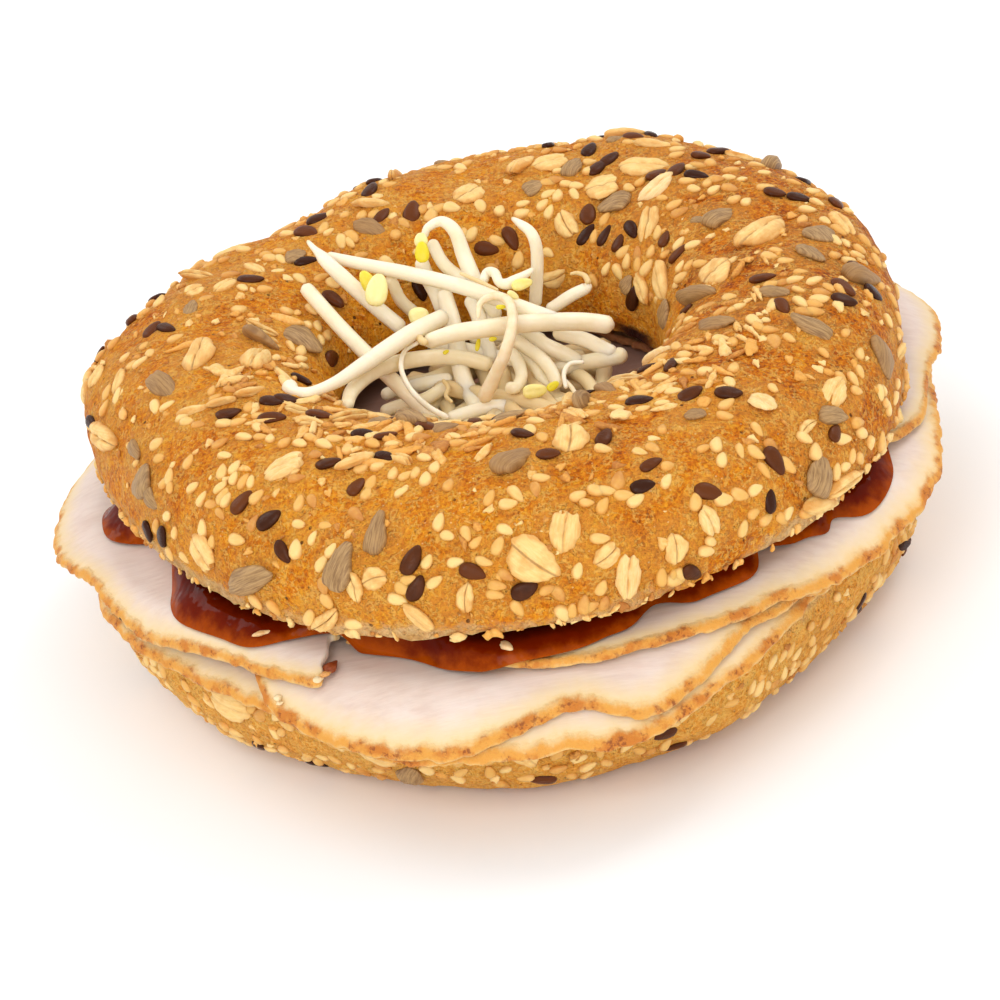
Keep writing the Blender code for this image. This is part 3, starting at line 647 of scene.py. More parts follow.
sesamePixels = [
    (177, 340, 25), (145, 347, 50), (151, 355, -80), (126, 358, 60), (141, 364, 45), (133, 366, 60),
    (115, 344, 55), (119, 397, 70), (109, 393, 60), (106, 408, 75), (156, 409, -75), (169, 407, 30),
    (125, 415, -40), (158, 445, 30), (161, 460, 0), (190, 462, 60), (171, 477, 80), (167, 483, 50),
    (172, 489, -70), (195, 488, 40), (202, 499, 75), (213, 505, 0), (223, 497, 60), (228, 500, 75),
    (221, 514, -50), (222, 473, 85), (235, 469, 60), (235, 480, 75), (221, 487, 40), (244, 482, 55),
    (251, 482, 85), (221, 444, 25), (226, 457, 0), (220, 372, -30), (213, 392, 70), (230, 391, -10),
    (216, 400, 30), (290, 347, -50), (300, 352, 80), (301, 360, -5), (303, 368, 0), (257, 429, -60),
    (262, 438, 0), (245, 439, -15), (271, 440, 80), (285, 444, 50), (301, 445, -25), (312, 439, -20),
    (324, 445, -20), (335, 441, 0), (316, 456, -10), (292, 474, 15), (297, 480, 20), (260, 417, 20),
    (249, 409, 80), (225, 424, 0), (238, 424, 10), (188, 423, 0), (185, 417, 30), (199, 426, 10),
    (254, 524, 60), (239, 540, -5), (301, 524, 0), (326, 526, -8), (314, 538, 62), (297, 550, 90),
    (331, 550, 60), (299, 503, 72), (312, 502, -60), (257, 497, 40), (204, 528, 85), (212, 542, 75),
    (158, 525, 85), (169, 517, 10), (176, 532, 85), (171, 554, -60), (186, 557, -40), (356, 516, -35),
    (372, 485, 60), (368, 494, 60), (403, 493, 30), (379, 468, 35), (394, 474, 85), (362, 469, 30),
    (406, 476, 30), (417, 474, 85), (273, 610, -65), (254, 607, -40), (309, 616, 80), (354, 628, -8),
    (323, 586, -70), (328, 601, -60), (333, 550, 50), (323, 564, 60), (403, 589, -30), (408, 579, 10),
    (399, 599, -20), (246, 244, 20), (245, 251, 0), (225, 261, 40), (211, 266, 30), (281, 230, 30),
    (289, 235, 10), (324, 229, 60), (330, 233, 50), (281, 253, 0), (267, 257, -10), (273, 260, 10),
    (281, 261, -30), (278, 273, 0), (231, 277, 10), (243, 289, -45), (265, 290, 0), (206, 300, 20),
    (175, 284, 20), (171, 281, 30), (160, 303, 50), (147, 313, 60), (149, 301, 50), (136, 320, 55),
    (240, 311, 25), (287, 313, 5), (312, 311, -50), (300, 281, -40), (322, 279, 20), (333, 284, -30),
    (317, 327, 80), (326, 336, 80), (320, 342, -80), (216, 369, -10), (307, 326, 80), (346, 216, 65),
    (331, 215, 70), (342, 243, -75), (353, 238, -50), (350, 244, -50), (362, 216, 60), (374, 215, 40),
    (393, 217, 80), (403, 225, -40), (396, 235, 75), (424, 210, 60), (431, 216, 70), (439, 209, 30),
    (452, 209, -10), (480, 208, -60), (500, 211, 70), (524, 205, 5), (522, 215, 35), (543, 205, 60),
    (549, 213, 75), (558, 196, 80), (574, 196, -60), (557, 181, 5), (548, 184, 0), (567, 185, 0),
    (577, 187, 0), (549, 195, 30), (560, 172, 15), (462, 169, -25), (468, 165, 30), (456, 159, 10),
    (440, 160, 5), (423, 166, 20), (433, 171, 5), (446, 169, 5), (391, 186, 15), (388, 173, 45),
    (385, 183, 50), (363, 182, 30), (361, 187, 40), (345, 193, 35), (350, 197, 20), (335, 204, 35),
    (484, 147, 15), (492, 145, 15), (512, 147, 20), (521, 151, 5), (530, 142, 20), (540, 149, 10),
    (546, 153, 40), (560, 151, 5), (463, 234, 80), (472, 235, 70), (497, 241, -5), (518, 260, 80),
    (549, 253, -30), (492, 268, 0), (361, 257, 20), (387, 263, -30), (588, 172, 80), (589, 163, 5),
    (583, 140, 15), (596, 141, 0), (630, 144, 0), (658, 146, 10), (679, 141, 10), (676, 146, 10),
    (678, 151, 5), (677, 156, 5), (630, 190, -30), (642, 183, 50), (692, 168, 5), (698, 167, 5),
    (710, 164, 70), (688, 182, 0), (695, 190, -15), (708, 184, 60), (716, 181, 0), (714, 191, 35),
    (730, 189, -5), (732, 172, 10), (729, 179, -5), (743, 181, -32), (735, 200, 48), (746, 203, 50),
    (734, 161, -10), (745, 159, -10), (756, 167, -5), (764, 175, -20), (766, 188, 0), (663, 199, -20),
    (675, 206, 20), (680, 213, 25), (606, 220, 50), (595, 237, 75), (658, 233, 80), (625, 252, 40),
    (652, 252, 85), (639, 254, 85), (667, 255, 55), (680, 245, 60), (694, 246, 20), (639, 265, 85),
    (648, 268, 60), (628, 261, 80), (619, 272, -75), (607, 269, 60), (682, 267, 68), (691, 266, 60),
    (701, 265, 10), (682, 278, 40), (595, 281, -60), (793, 184, -20), (792, 175, 0), (813, 193, -10),
    (817, 204, -20), (808, 211, -10), (803, 221, 60), (826, 222, -30), (838, 232, -40), (835, 241, -40),
    (859, 251, -20), (857, 257, -15), (848, 262, 0), (835, 257, 15), (874, 252, -70), (875, 262, -60),
    (883, 257, 60), (864, 242, -45), (848, 213, -60), (776, 252, -10), (769, 257, 0), (786, 263, 10),
    (802, 274, 0), (796, 281, 20), (773, 286, 10), (786, 284, 10), (815, 282, 20), (829, 289, -50),
    (840, 292, -40), (799, 291, -10), (821, 294, -5), (800, 303, -30), (819, 300, 0), (814, 305, -10),
    (805, 313, -20), (814, 313, 0), (772, 306, 85), (730, 299, 5), (740, 308, 30), (721, 313, 30),
    (711, 307, 20), (703, 310, 30), (753, 322, -40), (759, 328, -40), (770, 332, 0), (774, 343, -75),
    (790, 340, -45), (845, 334, 30), (824, 355, -55), (722, 340, 0), (733, 342, 60), (734, 368, 60),
    (706, 354, 10), (859, 355, 80), (859, 372, -65), (853, 380, -55), (840, 379, -60), (856, 391, -10),
    (898, 333, -40), (887, 321, -70), (891, 301, -60), (897, 319, -70), (896, 384, 40), (907, 376, 80),
    (882, 391, 60), (880, 287, 40), (879, 393, -80), (887, 408, 80), (884, 402, 60), (893, 398, 70),
    (896, 385, 60), (673, 393, 5), (662, 405, 0), (643, 411, 3), (625, 400, 35), (617, 410, 0),
    (636, 383, 60), (642, 385, 55), (648, 388, 40), (643, 395, 0), (662, 379, 5), (690, 374, 0),
    (707, 372, 15), (631, 373, 55), (621, 387, -20), (729, 384, -70), (727, 406, 30), (725, 417, 0),
    (773, 390, -55), (662, 431, 85), (604, 450, 0), (641, 453, -10), (653, 450, -30), (669, 467, 15),
    (618, 481, 80), (667, 482, 60), (624, 496, -5), (637, 501, 30), (606, 492, 0), (602, 506, 60),
    (703, 450, 20), (717, 445, 80), (740, 451, -70), (722, 461, 75), (757, 431, -55), (754, 454, -40),
    (771, 449, -50), (786, 466, -50), (763, 471, -60), (754, 490, 25), (740, 495, -20), (723, 499, 5),
    (695, 502, 80), (706, 550, 0), (709, 542, -20), (752, 513, 20), (743, 527, 75), (764, 518, 30),
    (780, 519, -45), (787, 513, 40), (804, 439, -30), (815, 452, 85), (842, 439, 0), (861, 434, -20),
    (856, 423, 10), (868, 443, -75), (881, 441, 80), (850, 456, 80), (858, 458, -50), (845, 467, 20),
    (836, 472, 80), (806, 515, -10), (325, 445, -20), (348, 450, 80), (373, 445, -30), (393, 446, 0),
    (412, 438, 40), (419, 432, 40), (422, 439, 10), (426, 459, -20), (435, 468, 75), (363, 470, 20),
    (378, 468, 35), (455, 438, -20), (459, 445, 10), (462, 431, -20), (475, 433, 0), (490, 426, 0),
    (486, 432, 30), (498, 433, 15), (511, 433, 20), (531, 431, -30), (543, 439, -72), (532, 416, 0),
    (537, 422, 0), (545, 416, 0), (592, 415, 10), (602, 450, 0), (662, 360, 40), (661, 352, 35),
    (677, 348, -30), (689, 349, -50), (685, 356, 0), (703, 354, 15), (619, 273, -75), (703, 310, 40),
    (714, 306, 20), (721, 314, 20), (733, 311, 40), (683, 319, -10), (691, 321, 20), (681, 325, 40),
    (683, 331, 20), (671, 334, 50), (404, 477, 30), (426, 480, 75), (450, 486, 75), (439, 522, 80),
    (448, 536, -10), (466, 535, -70), (477, 543, 40), (489, 499, 60), (515, 495, -40), (509, 504, 10),
    (536, 491, -80), (541, 479, 5), (506, 530, -25), (498, 546, 60), (483, 562, -15), (455, 562, 5),
    (427, 562, 70), (435, 581, 40), (497, 586, -5), (494, 594, -10), (505, 576, -30), (547, 589, 20),
    (559, 594, -50), (518, 607, -60), (579, 569, 65), (601, 538, 0), (602, 586, 65), (604, 605, 80),
    (584, 603, 85), (572, 609, 80), (593, 613, 30), (566, 627, -60), (578, 496, 30), (598, 491, -10),
    (586, 504, 0), (618, 481, 75), (668, 482, 60), (694, 503, 80), (661, 577, 80), (674, 574, 50),
    (681, 575, -60), (692, 582, 10), (676, 589, -5), (435, 470, 80), (403, 493, 25), (425, 458, -15)]
lowerPixels = {
    "sesame": [(776, 650), (786, 647), (797, 652), (143, 664), (176, 694, -65), (192, 695, -60),
               (189, 704, -60), (219, 701, -45), (238, 721, -60), (256, 724, -60), (233, 728, -60),
               (270, 745, -35), (291, 752, -70), (307, 749, -30), (154, 672, -60), (162, 681, -60),
               (209, 712, -45), (579, 754), (607, 753)],
    "oat": [(861, 592, 40, 40, 26), (728, 698, 30, 34, 20), (648, 752, 10, 30, 18)],
    "flax": [(652, 731), (621, 748), (579, 761), (904, 542), (888, 562), (838, 605), (755, 704),
             (122, 618)],
    "sunflower": [],
}


picking = {"bearings": 900, "turns": 240, "leastFacing": 0.03, "depthShare": 0.05}


def pickOnRing(section, shift, pixels, turns):
    # the nearest camera side place of a ring under each pixel
    bearing = np.linspace(0, 2 * math.pi, picking["bearings"], endpoint=False)
    turn = np.linspace(*turns, picking["turns"])
    bearing, turn = [a.ravel() for a in np.meshgrid(bearing, turn)]
    here, _, _, out = ringFrames(section, shift, bearing, turn)
    facing = facingCamera(here, out) > picking["leastFacing"]
    bearing, turn, here = bearing[facing], turn[facing], here[facing]
    x, y, depth = toPixels(here)
    depth = picking["depthShare"] * depth
    picked = [np.argmin(np.hypot(x - px, y - py) + depth) for px, py in pixels]
    return bearing[picked], turn[picked]


def readPixels(rows):  # places, headings and sizes, unknown where a row doesn't say
    full = np.array([(*row, np.nan, np.nan, np.nan)[:5] for row in rows], float)
    return full[:, :2], full[:, 2], full[:, 3:5]


def sesameForm(u, v):
    # u from blunt end to point, v round: an ellipse that narrows to the point
    t = u * math.pi
    along = -np.cos(t)
    wide = np.sin(t) * (1 - 0.36 * along)
    return along, wide * np.cos(v), wide * np.sin(v)


def flaxForm(u, v):
    # the same with a shallow dent on top
    t = u * math.pi
    along = -np.cos(t)
    wide = np.sin(t) * (1 - 0.26 * along)
    dent = 0.22 * np.exp(-((along + 0.1) / 0.45) ** 2) * np.exp(-(np.cos(v) / 0.5) ** 2)
    return along, wide * np.cos(v), wide * np.sin(v) * (1 - dent)


def sunflowerForm(u, v):
    # a fuller teardrop with faint ridges
    t = u * math.pi
    along = -np.cos(t)
    wide = np.sin(t) ** 0.85 * (1 - 0.36 * along)
    ridges = 1 + 0.03 * np.cos(7 * v)
    return along, wide * np.cos(v) * ridges, wide * np.sin(v) * ridges


def oatForm(u, v):
    # a rolled flake: u from the middle of the top to the middle of the underside, two domed
    # halves with a crease between, a ragged oval that comes to a point at its ends
    t = u * math.pi
    out = np.sin(t) ** 0.75
    ragged = 1 + 0.04 * np.sin(3 * v + 0.6) + 0.03 * np.sin(7 * v) + 0.025 * np.sin(13 * v + 1)
    along = out * np.cos(v) * ragged
    across = out * np.sin(v) * ragged * (1 - 0.10 * np.cos(v)) * (1 - 0.16 * np.cos(v) ** 4)
    crease = np.exp(-(across / 0.07) ** 2) * np.clip(1 - along ** 4, 0, 1)
    dome = np.cos(t) * (0.75 + 0.35 * np.sin(math.pi * np.clip(np.abs(across) * 1.1, 0, 1)))
    return along, across, dome - np.where(np.cos(t) > 0, 0.62 * crease, -0.1 * crease)


forms = {"sesame": sesameForm, "flax": flaxForm, "sunflower": sunflowerForm, "oat": oatForm,
         "crumb": sunflowerForm, "shard": sunflowerForm}


def seedMesh(name, kind, spots, paint):
    # every seed of a kind in one mesh: the form carried to each spot's own directions
    rows, columns = seeds[kind]["grid"]
    u, v = spanGrid(rows, columns, 1)
    ends = [np.array(forms[kind](np.array([e]), np.array([0.0]))).T for e in (0.0, 1.0)]
    body = np.stack(forms[kind](u, v), -1).reshape(-1, 3)
    form = np.concatenate([ends[0], body, ends[1]])
    size, sit = np.array(seeds[kind]["size"]) / 2, seeds[kind]["sit"]
    scale = spots["scale"][:, None, None]
    local = form[None] * size * scale
    local = local * np.stack([np.ones(len(scale)), spots["width"], np.ones(len(scale))], -1)[:, None]
    tone, angle = spots["tone"][:, None], np.arctan2(form[:, 1], form[:, 0])
    jag = np.sin(3 * angle + 40 * tone) + 0.8 * np.sin(5 * angle + 90 * tone)
    jag = jag + 0.6 * np.sin(9 * angle + 140 * tone)
    local = local * (1 + seeds[kind]["ragged"] * jag)[..., None]
    local[..., 1] += 0.07 * size[1] * np.sin(form[None, :, 0] * 2.2 + tone * 9)
    if kind == "oat":  # some are torn across
        tear = np.where(np.mod(7 * tone, 1) > 0.6, 0.6 + 0.3 * np.mod(31 * tone, 1), 2.0)
        tear = tear * (1 + 0.10 * np.sin(9 * form[:, 1] + 30 * tone))
        local[..., 0] = np.minimum(local[..., 0], tear * size[0] * scale[..., 0])
    local[..., 2] += sit * size[2] * 2
    axes = np.stack([spots["along"], spots["side"], spots["out"]], 1)
    points = spots["place"][:, None] + np.einsum("nmk,nkj->nmj", local, axes)
    count = len(form)
    faces = copiedFaces(poleFaces(rows - 2, columns), np.arange(len(points)) * count)
    marks = {"tone": np.repeat(spots["tone"], count), "alongSeed": np.tile(form[:, 0], len(points)),
             "acrossSeed": np.tile(form[:, 1], len(points))}
    return meshPiece(name, points, faces, paint, marks)


def upperDensity(bearing, turn):  # how thick the seeds lie, 0 to 1
    place = ringPlace(upperSection, upperShift, bearing, turn)
    drift = 0.5 + 0.5 * cloud(place, 14.0, 31) + 0.35 * cloud(place, 5.0, 32)
    crest = smooth((turn / math.pi - 0.12) / 0.25)
    return np.clip(drift * crest, 0.02, 1)


def lowerDensity(bearing, turn):
    place = ringPlace(lowerSection, noShift, bearing, turn)
    drift = 0.6 + 0.5 * cloud(place, 12.0, 33)
    inside = (place[..., 2] > 3.6) & (place[..., 2] < 16.5)
    return np.where(inside, np.clip(drift, 0.05, 1), 0.0)


def pictureSpin(along, over, heading):
    # the turn on the surface that shows as that heading in the picture, in degrees
    ax, ay, bx, by = along @ right, along @ up, over @ right, over @ up
    x, y = np.cos(np.radians(heading)), np.sin(np.radians(heading))
    return np.arctan2(ax * y - ay * x, x * by - y * bx)


def realSize(here, way, seen):  # millimetres along a direction that show as so many pixels
    sight = unit(here - eye)
    across = np.linalg.norm(way - sight * (way @ sight))
    return seen * ((here - eye) @ ahead) / view["focal"] / max(across, 0.35)


scattering = {
    "tries": 14,                  # random places tried for each that is wanted
    "vary": 0.08, "tilt": 0.13,   # spread of the sizes, and of the lean off the surface
    "edgeOn": 0.3,                # a seed seen narrower than this share of its length is on edge
    "leastLong": 0.45, "leastWide": 0.3, "most": 1.5,   # limits of a size measured in the picture
}


class Scatter:
    # spots of all kinds on one ring, none nearer to another than their sizes allow
    def __init__(self, section, shift, seed):
        self.section, self.shift = section, shift
        self.chance = np.random.default_rng(seed)
        self.taken = np.zeros((0, 3))
        self.reach = np.zeros(0)
        self.rows = {kind: [] for kind in seeds}

    def add(self, kind, bearing, turn, closeness, limit=None, heading=None, seen=None):
        here, along, over, out = ringFrames(self.section, self.shift, bearing, turn)
        own = seeds[kind]["size"][0] * 0.5
        spin = self.chance.uniform(0, 2 * math.pi, len(bearing))
        if heading is not None:
            spin = np.where(np.isnan(heading), spin, pictureSpin(along, over, heading))
        tone = self.chance.uniform(0, 1, len(bearing))
        vary = seeds[kind].get("vary", scattering["vary"])
        scale = self.chance.normal(1.0, vary, len(bearing)).clip(1 - 2 * vary, 1 + 2 * vary)
        width = self.chance.normal(1.0, vary, len(bearing)).clip(1 - 2 * vary, 1 + 2 * vary)
        tilt = self.chance.normal(0, scattering["tilt"], (len(bearing), 2))
        placed = 0
        for i in range(len(bearing)):
            if limit is not None and placed >= limit:
                break
            gap = np.linalg.norm(self.taken - here[i], axis=1)
            if np.any(gap < closeness * (own + self.reach)) or here[i][2] < own + 0.3:
                continue
            self.taken = np.vstack([self.taken, here[i]])
            self.reach = np.append(self.reach, own)
            way = along[i] * math.cos(spin[i]) + over[i] * math.sin(spin[i])
            raised = unit(out[i] + tilt[i, 0] * along[i] + tilt[i, 1] * over[i])
            way = unit(way - raised * (way @ raised))
            side = np.cross(raised, way)
            if seen is not None and not np.isnan(seen[i, 0]):
                length, breadth, _ = seeds[kind]["size"]
                if seen[i, 1] < scattering["edgeOn"] * seen[i, 0] and kind != "sesame":
                    side = unit(side + self.chance.choice([-1.1, 1.1]) * raised)
                    raised = np.cross(way, side)
                long, wide = realSize(here[i], way, seen[i, 0]), realSize(here[i], side, seen[i, 1])
                scale[i] = np.clip(long / length, scattering["leastLong"], scattering["most"])
                width[i] = np.clip(wide / breadth, scattering["leastWide"], scattering["most"])
                width[i] = width[i] / scale[i]
            self.rows[kind].append((here[i], way, side, raised, tone[i], scale[i], width[i]))
            placed += 1

    def random(self, kind, count, span, density, closeness):
        many = count * scattering["tries"]
        bearing = self.chance.uniform(0, 2 * math.pi, many)
        turn = self.chance.uniform(*span, many)
        radius, _ = self.section(bearing, turn)
        keep = self.chance.uniform(0, 1, many) < density(bearing, turn) * radius / 62
        self.add(kind, bearing[keep], turn[keep], closeness, count)


def gather(kind, scatters):
    rows = [row for s in scatters for row in s.rows[kind]]
    columns = [np.array(c) for c in zip(*rows)]
    return dict(zip(("place", "along", "side", "out", "tone", "scale", "width"), columns))


def evenly(bearing, turn):
    return 1 + 0 * bearing


def nearCrest(bearing, turn):  # flakes lie thick along the near edge of the hole
    return np.exp(-((np.mod(bearing, 2 * math.pi) - 4.6) / 1.25) ** 4)


crownSpan = (0.06 * math.pi, 1.32 * math.pi)
upper = Scatter(upperSection, upperShift, 5)
upperPixels = {"oat": oatPixels, "sunflower": sunflowerPixels, "flax": flaxPixels,
               "sesame": sesamePixels}
for kind, rows in upperPixels.items():
    pixels, heading, seen = readPixels(rows)
    upper.add(kind, *pickOnRing(upperSection, upperShift, pixels, crownSpan), 0.24, None, heading,
              seen)


def unseen(density):  # the random ones go where the camera doesn't look
    def rule(bearing, turn):
        here, _, _, out = ringFrames(upperSection, upperShift, bearing, turn)
        return np.where(facingCamera(here, out) > 0.0, 0.0, density(bearing, turn))
    return rule


for kind in upperPixels:
    upper.random(kind, seeds[kind]["upper"], crownSpan, unseen(upperDensity), 0.6)

sideSpan = (0.10 * math.pi, 0.66 * math.pi)
lower = Scatter(lowerSection, noShift, 6)
for kind in ("oat", "sunflower", "flax", "sesame"):
    if lowerPixels[kind]:
        pixels, heading, seen = readPixels(lowerPixels[kind])
        lower.add(kind, *pickOnRing(lowerSection, noShift, pixels, sideSpan), 0.4, None, heading,
                  seen)
for kind in ("oat", "sunflower", "flax"):
    lower.random(kind, seeds[kind]["lower"], sideSpan, lowerDensity, 0.65)
lower.random("sesame", seeds["sesame"]["lower"], sideSpan, lowerDensity, 0.62)

upperCrust = crustPaint("crustUpper", tint(241, 160, 32), tint(212, 114, 0), tint(146, 60, 0))
lowerCrust = crustPaint("crustLower", tint(254, 194, 96), tint(238, 154, 46), tint(180, 98, 18))
bagelTop = breadRing("bagelTop", upperSection, upperShift, upperCrust, upper, upperBakeAndShade, wavyEdge)
finishPiece(bagelTop, "crust", "bagel_top")
bagelBottom = breadRing("bagelBottom", lowerSection, noShift, lowerCrust, lower, lowerBaked,
                        plainEdge)
finishPiece(bagelBottom, "crust", "bagel_bottom")
for scatter, span, density, which in ((upper, crownSpan, upperDensity, "upper"),
                                      (lower, sideSpan, lowerDensity, "lower")):
    scatter.random("crumb", seeds["crumb"][which], span, density, 0.42)
upper.random("crumb", seeds["crumb"]["edge"], (0.0, 0.026 * math.pi), evenly, 0.2)
upper.random("shard", seeds["shard"]["upper"], (0.70 * math.pi, 1.12 * math.pi), nearCrest, 0.25)
print("bagel halves made")


def sesamePaint():
    paint = Paint("sesame", soft=0.25, softReach=(1.0, 0.7, 0.4), softScale=0.0008)
    tone = paint.mark("tone") + (paint.noise(0.9, 3.0) - 0.5) * 0.35
    tone = tone + paint.mark("alongSeed") * 0.08
    across, along = paint.mark("acrossSeed"), paint.mark("alongSeed")
    colour = paint.blend(tone.step(0.1, 0.75), tint(234, 197, 124), tint(220, 166, 80))
    colour = paint.blend(tone.step(0.72, 1.1), colour, tint(192, 124, 44))
    # painted shade: darker golden towards the seed's outline, where its rounded edge turns from the
    # light
    rim = (across * across + along * along).step(0.45, 1.1)
    colour = paint.blend(rim * 0.55, colour, tint(206, 134, 42))
    tip = (paint.mark("alongSeed") + (paint.noise(0.6, 2.0) - 0.5) * 0.3).step(0.75, 1.05)
    colour = paint.blend(tip * 0.7, colour, tint(172, 112, 52))
    normal = paint.bump(paint.noise(0.3, 2.0), 0.05)
    return paint.finish(colour=colour, normal=normal, roughness=0.46 + tone * 0.08)


def flaxPaint():
    paint = Paint("flax", gloss=0.13)
    tone = paint.mark("tone") + (paint.noise(1.2, 3.0) - 0.5) * 0.5
    colour = paint.blend(tone.step(0.1, 1.0), tint(54, 24, 8), tint(96, 48, 16))
    # painted shade: darker along the seed's long sides, where they turn from the light
    rim = (paint.mark("acrossSeed") * paint.mark("acrossSeed")).step(0.55, 1.0)
    colour = paint.blend(rim * 0.5, colour, tint(44, 16, 2))
    normal = paint.bump(paint.noise(0.30, 3.0), 0.06)
    return paint.finish(colour=colour, normal=normal, roughness=0.26 + tone * 0.08)


def sunflowerPaint():
    paint = Paint("sunflower", soft=0.1, softReach=(1.0, 0.8, 0.6), softScale=0.0008)
    across, along = paint.mark("acrossSeed"), paint.mark("alongSeed")
    tone = paint.mark("tone")
    streakPlace = paint.node("ShaderNodeCombineXYZ", None, {0: along * 0.9, 1: across * 5.0,
                                                            2: tone * 40.0})
    streaks = paint.node("ShaderNodeTexNoise", None, {"Vector": streakPlace, "Scale": 1.6,
                                                      "Detail": 5.0, "Roughness": 0.65})
    colour = paint.blend(streaks.step(0.30, 0.68), tint(124, 88, 46), tint(180, 142, 90))
    colour = paint.blend((tone + streaks * 0.5).step(0.7, 1.3) * 0.5, colour, tint(150, 104, 50))
    normal = paint.bump(streaks + paint.noise(0.4, 3.0) * 0.4, 0.08)
    return paint.finish(colour=colour, normal=normal, roughness=0.5 + streaks * 0.1)


def oatPaint():
    paint = Paint("oat", soft=0.2, softReach=(1.0, 0.75, 0.45), softScale=0.001)
    across, along = paint.mark("acrossSeed"), paint.mark("alongSeed")
    tone = paint.mark("tone")
    fibrePlace = paint.node("ShaderNodeCombineXYZ", None, {0: along * 1.4, 1: across * 7.0,
                                                           2: tone * 50.0})
    fibres = paint.node("ShaderNodeTexNoise", None, {"Vector": fibrePlace, "Scale": 1.5,
                                                     "Detail": 5.0, "Roughness": 0.6})
    edge = (across * across + along * along).step(0.55, 1.05)
    crease = (across * across + (fibres - 0.5) * 0.010).step(0.006, 0.0005)
    colour = paint.blend(fibres.step(0.3, 0.7), tint(240, 204, 134), tint(234, 190, 112))
    colour = paint.blend((tone + fibres * 0.4).step(0.4, 0.1) * 0.7, colour, tint(246, 222, 174))
    toasted = (edge * 0.75 + paint.noise(1.9, 3.0).step(0.42, 0.66) * 0.6).least(1.0)
    colour = paint.blend(toasted * (0.35 + tone * 0.65), colour, tint(206, 138, 48))
    colour = paint.blend(crease * tone.step(0.1, 0.5) * 0.5, colour, tint(146, 92, 38))
    normal = paint.bump(fibres + paint.noise(0.4, 3.0) * 0.5, 0.13)
    return paint.finish(colour=colour, normal=normal, roughness=0.66 - fibres * 0.1)


def crumbPaint():
    paint = Paint("crumb", soft=0.2, softReach=(1.0, 0.7, 0.4), softScale=0.0008)
    tone = paint.mark("tone") + (paint.noise(0.5, 3.0) - 0.5) * 0.8
    colour = paint.blend(tone.step(0.0, 0.6), tint(242, 204, 134), tint(226, 162, 70))
    colour = paint.blend(tone.step(0.55, 1.05), colour, tint(178, 110, 38))
    normal = paint.bump(paint.noise(0.35, 3.0), 0.15)
    return paint.finish(colour=colour, normal=normal, roughness=0.6 + tone * 0.1)


seedPaints = {"sesame": sesamePaint, "flax": flaxPaint, "sunflower": sunflowerPaint, "oat": oatPaint,
              "crumb": crumbPaint, "shard": crumbPaint}
pieceNames = {"sesame": "sesameSeeds", "flax": "flaxSeeds", "sunflower": "sunflowerKernels",
              "oat": "oatFlakes", "crumb": "crumbs", "shard": "shards"}
for kind, name in pieceNames.items():
    piece = seedMesh(name, kind, gather(kind, [upper, lower]), seedPaints[kind]())
    finishPiece(piece, "crust")
    print(name, "made:", len(piece.data.polygons), "faces")


# Turkey: thin slices that lie on each other and hang over the lower half's shoulder

turkey = {
    "thickness": 1.8, "rim": 1.3, "pitch": 2.3, "gap": 0.35,
    "droopStart": 1.4, "droopReach": 10.1, "droopSide": 5.0, "droopFront": 8.0,
    "bearings": 700, "rings": 36, "rimRings": 7, "sharp": 60,
    "fray": [(0.35, 46, 0), (0.28, 120, 9), (0.16, 230, 19), (0.12, 400, 29)],   # size, count, seed
    "wave": 0.096, "curl": 0.30, "skin": 0.2, "frayOut": 0.25,                   # of the rim, in mm
    "middleMark": 9.0,                                      # the edge distance well inside a slice
    "outlineSteps": 720,                                    # points round a slice's outline
}
# Where a slice is torn or cut, so that its edge isn't roasted: the slice, the tear's bearing from
# its middle and half width in degrees, and its depth in mm
tears = [(3, -78.5, 2.2, 2.6), (3, -73.5, 1.2, 1.4), (3, -62.0, 14.0, 0.0)]
# A notch torn into a side: slice, place, half width and depth to the left in mm
notches = [(3, -28.7, -52.3, 1.6, 0.7)]
# Each slice: its layer, its middle, the extra droop of its left edge and its outline's corners
slices = [
    (0, (-4, -12), 0.0,
     [(-61, -12), (-58, -25), (-50, -37), (-40, -49), (-26, -62), (-9, -68), (10, -69),
      (23, -63), (34, -53), (46, -36), (54, -12), (52, 20), (34, 46), (4, 59),
      (-30, 52), (-54, 26)]),
    (1, (6, -16), 0.0,
     [(-39, -48), (-34, -57), (-27, -63), (-13, -68), (3, -67), (12, -68), (19, -65),
      (28, -57), (43, -44), (56, -26), (60, 2), (54, 30), (30, 53), (-4, 56),
      (-30, 42), (-40, 14), (-41, -20)]),
    (2, (-38, -4), 2.0,
     [(-63, 24), (-67, 10), (-67, -3), (-61, -17), (-55, -30), (-45, -42), (-35, -52),
      (-29, -55), (-27, -47), (-19, -32), (-13, -8), (-13, 16), (-18, 38), (-34, 50),
      (-51, 42)]),
    (2, (26, -6), 0.0,
     [(-8, -59), (6, -63), (20, -60), (33, -54), (48, -42), (59, -27), (62, -12),
      (63, 8), (58, 28), (42, 48), (18, 58), (0, 52), (-4, 26), (-5, 0), (-9, -24),
      (-14, -46)]),
    (3, (38, 30), 0.0,
     [(66, 8), (62, -5), (59, -17), (53, -23), (40, -21), (31, -6), (25, 12),
      (11, 28), (-12, 36), (-32, 40), (-30, 50), (-10, 60), (14, 63), (38, 55),
      (57, 38), (66, 22)]),
]


def bendRadius(bearing):
    return lowerRadius(bearing) - bagel["shoulderTuck"] + turkey["droopStart"]


def droop(x, y):  # how far a slice hangs down past the lower half's shoulder
    bearing = np.arctan2(y, x)
    over = np.maximum(0.0, np.hypot(x, y) - bendRadius(bearing))
    front = np.maximum(0.0, -np.sin(bearing))
    depth = turkey["droopSide"] + (turkey["droopFront"] - turkey["droopSide"]) * front
    ripple = 1.0 + 0.12 * np.sin(7 * bearing + 0.6)
    return depth * ripple * (over / turkey["droopReach"]) ** 1.6


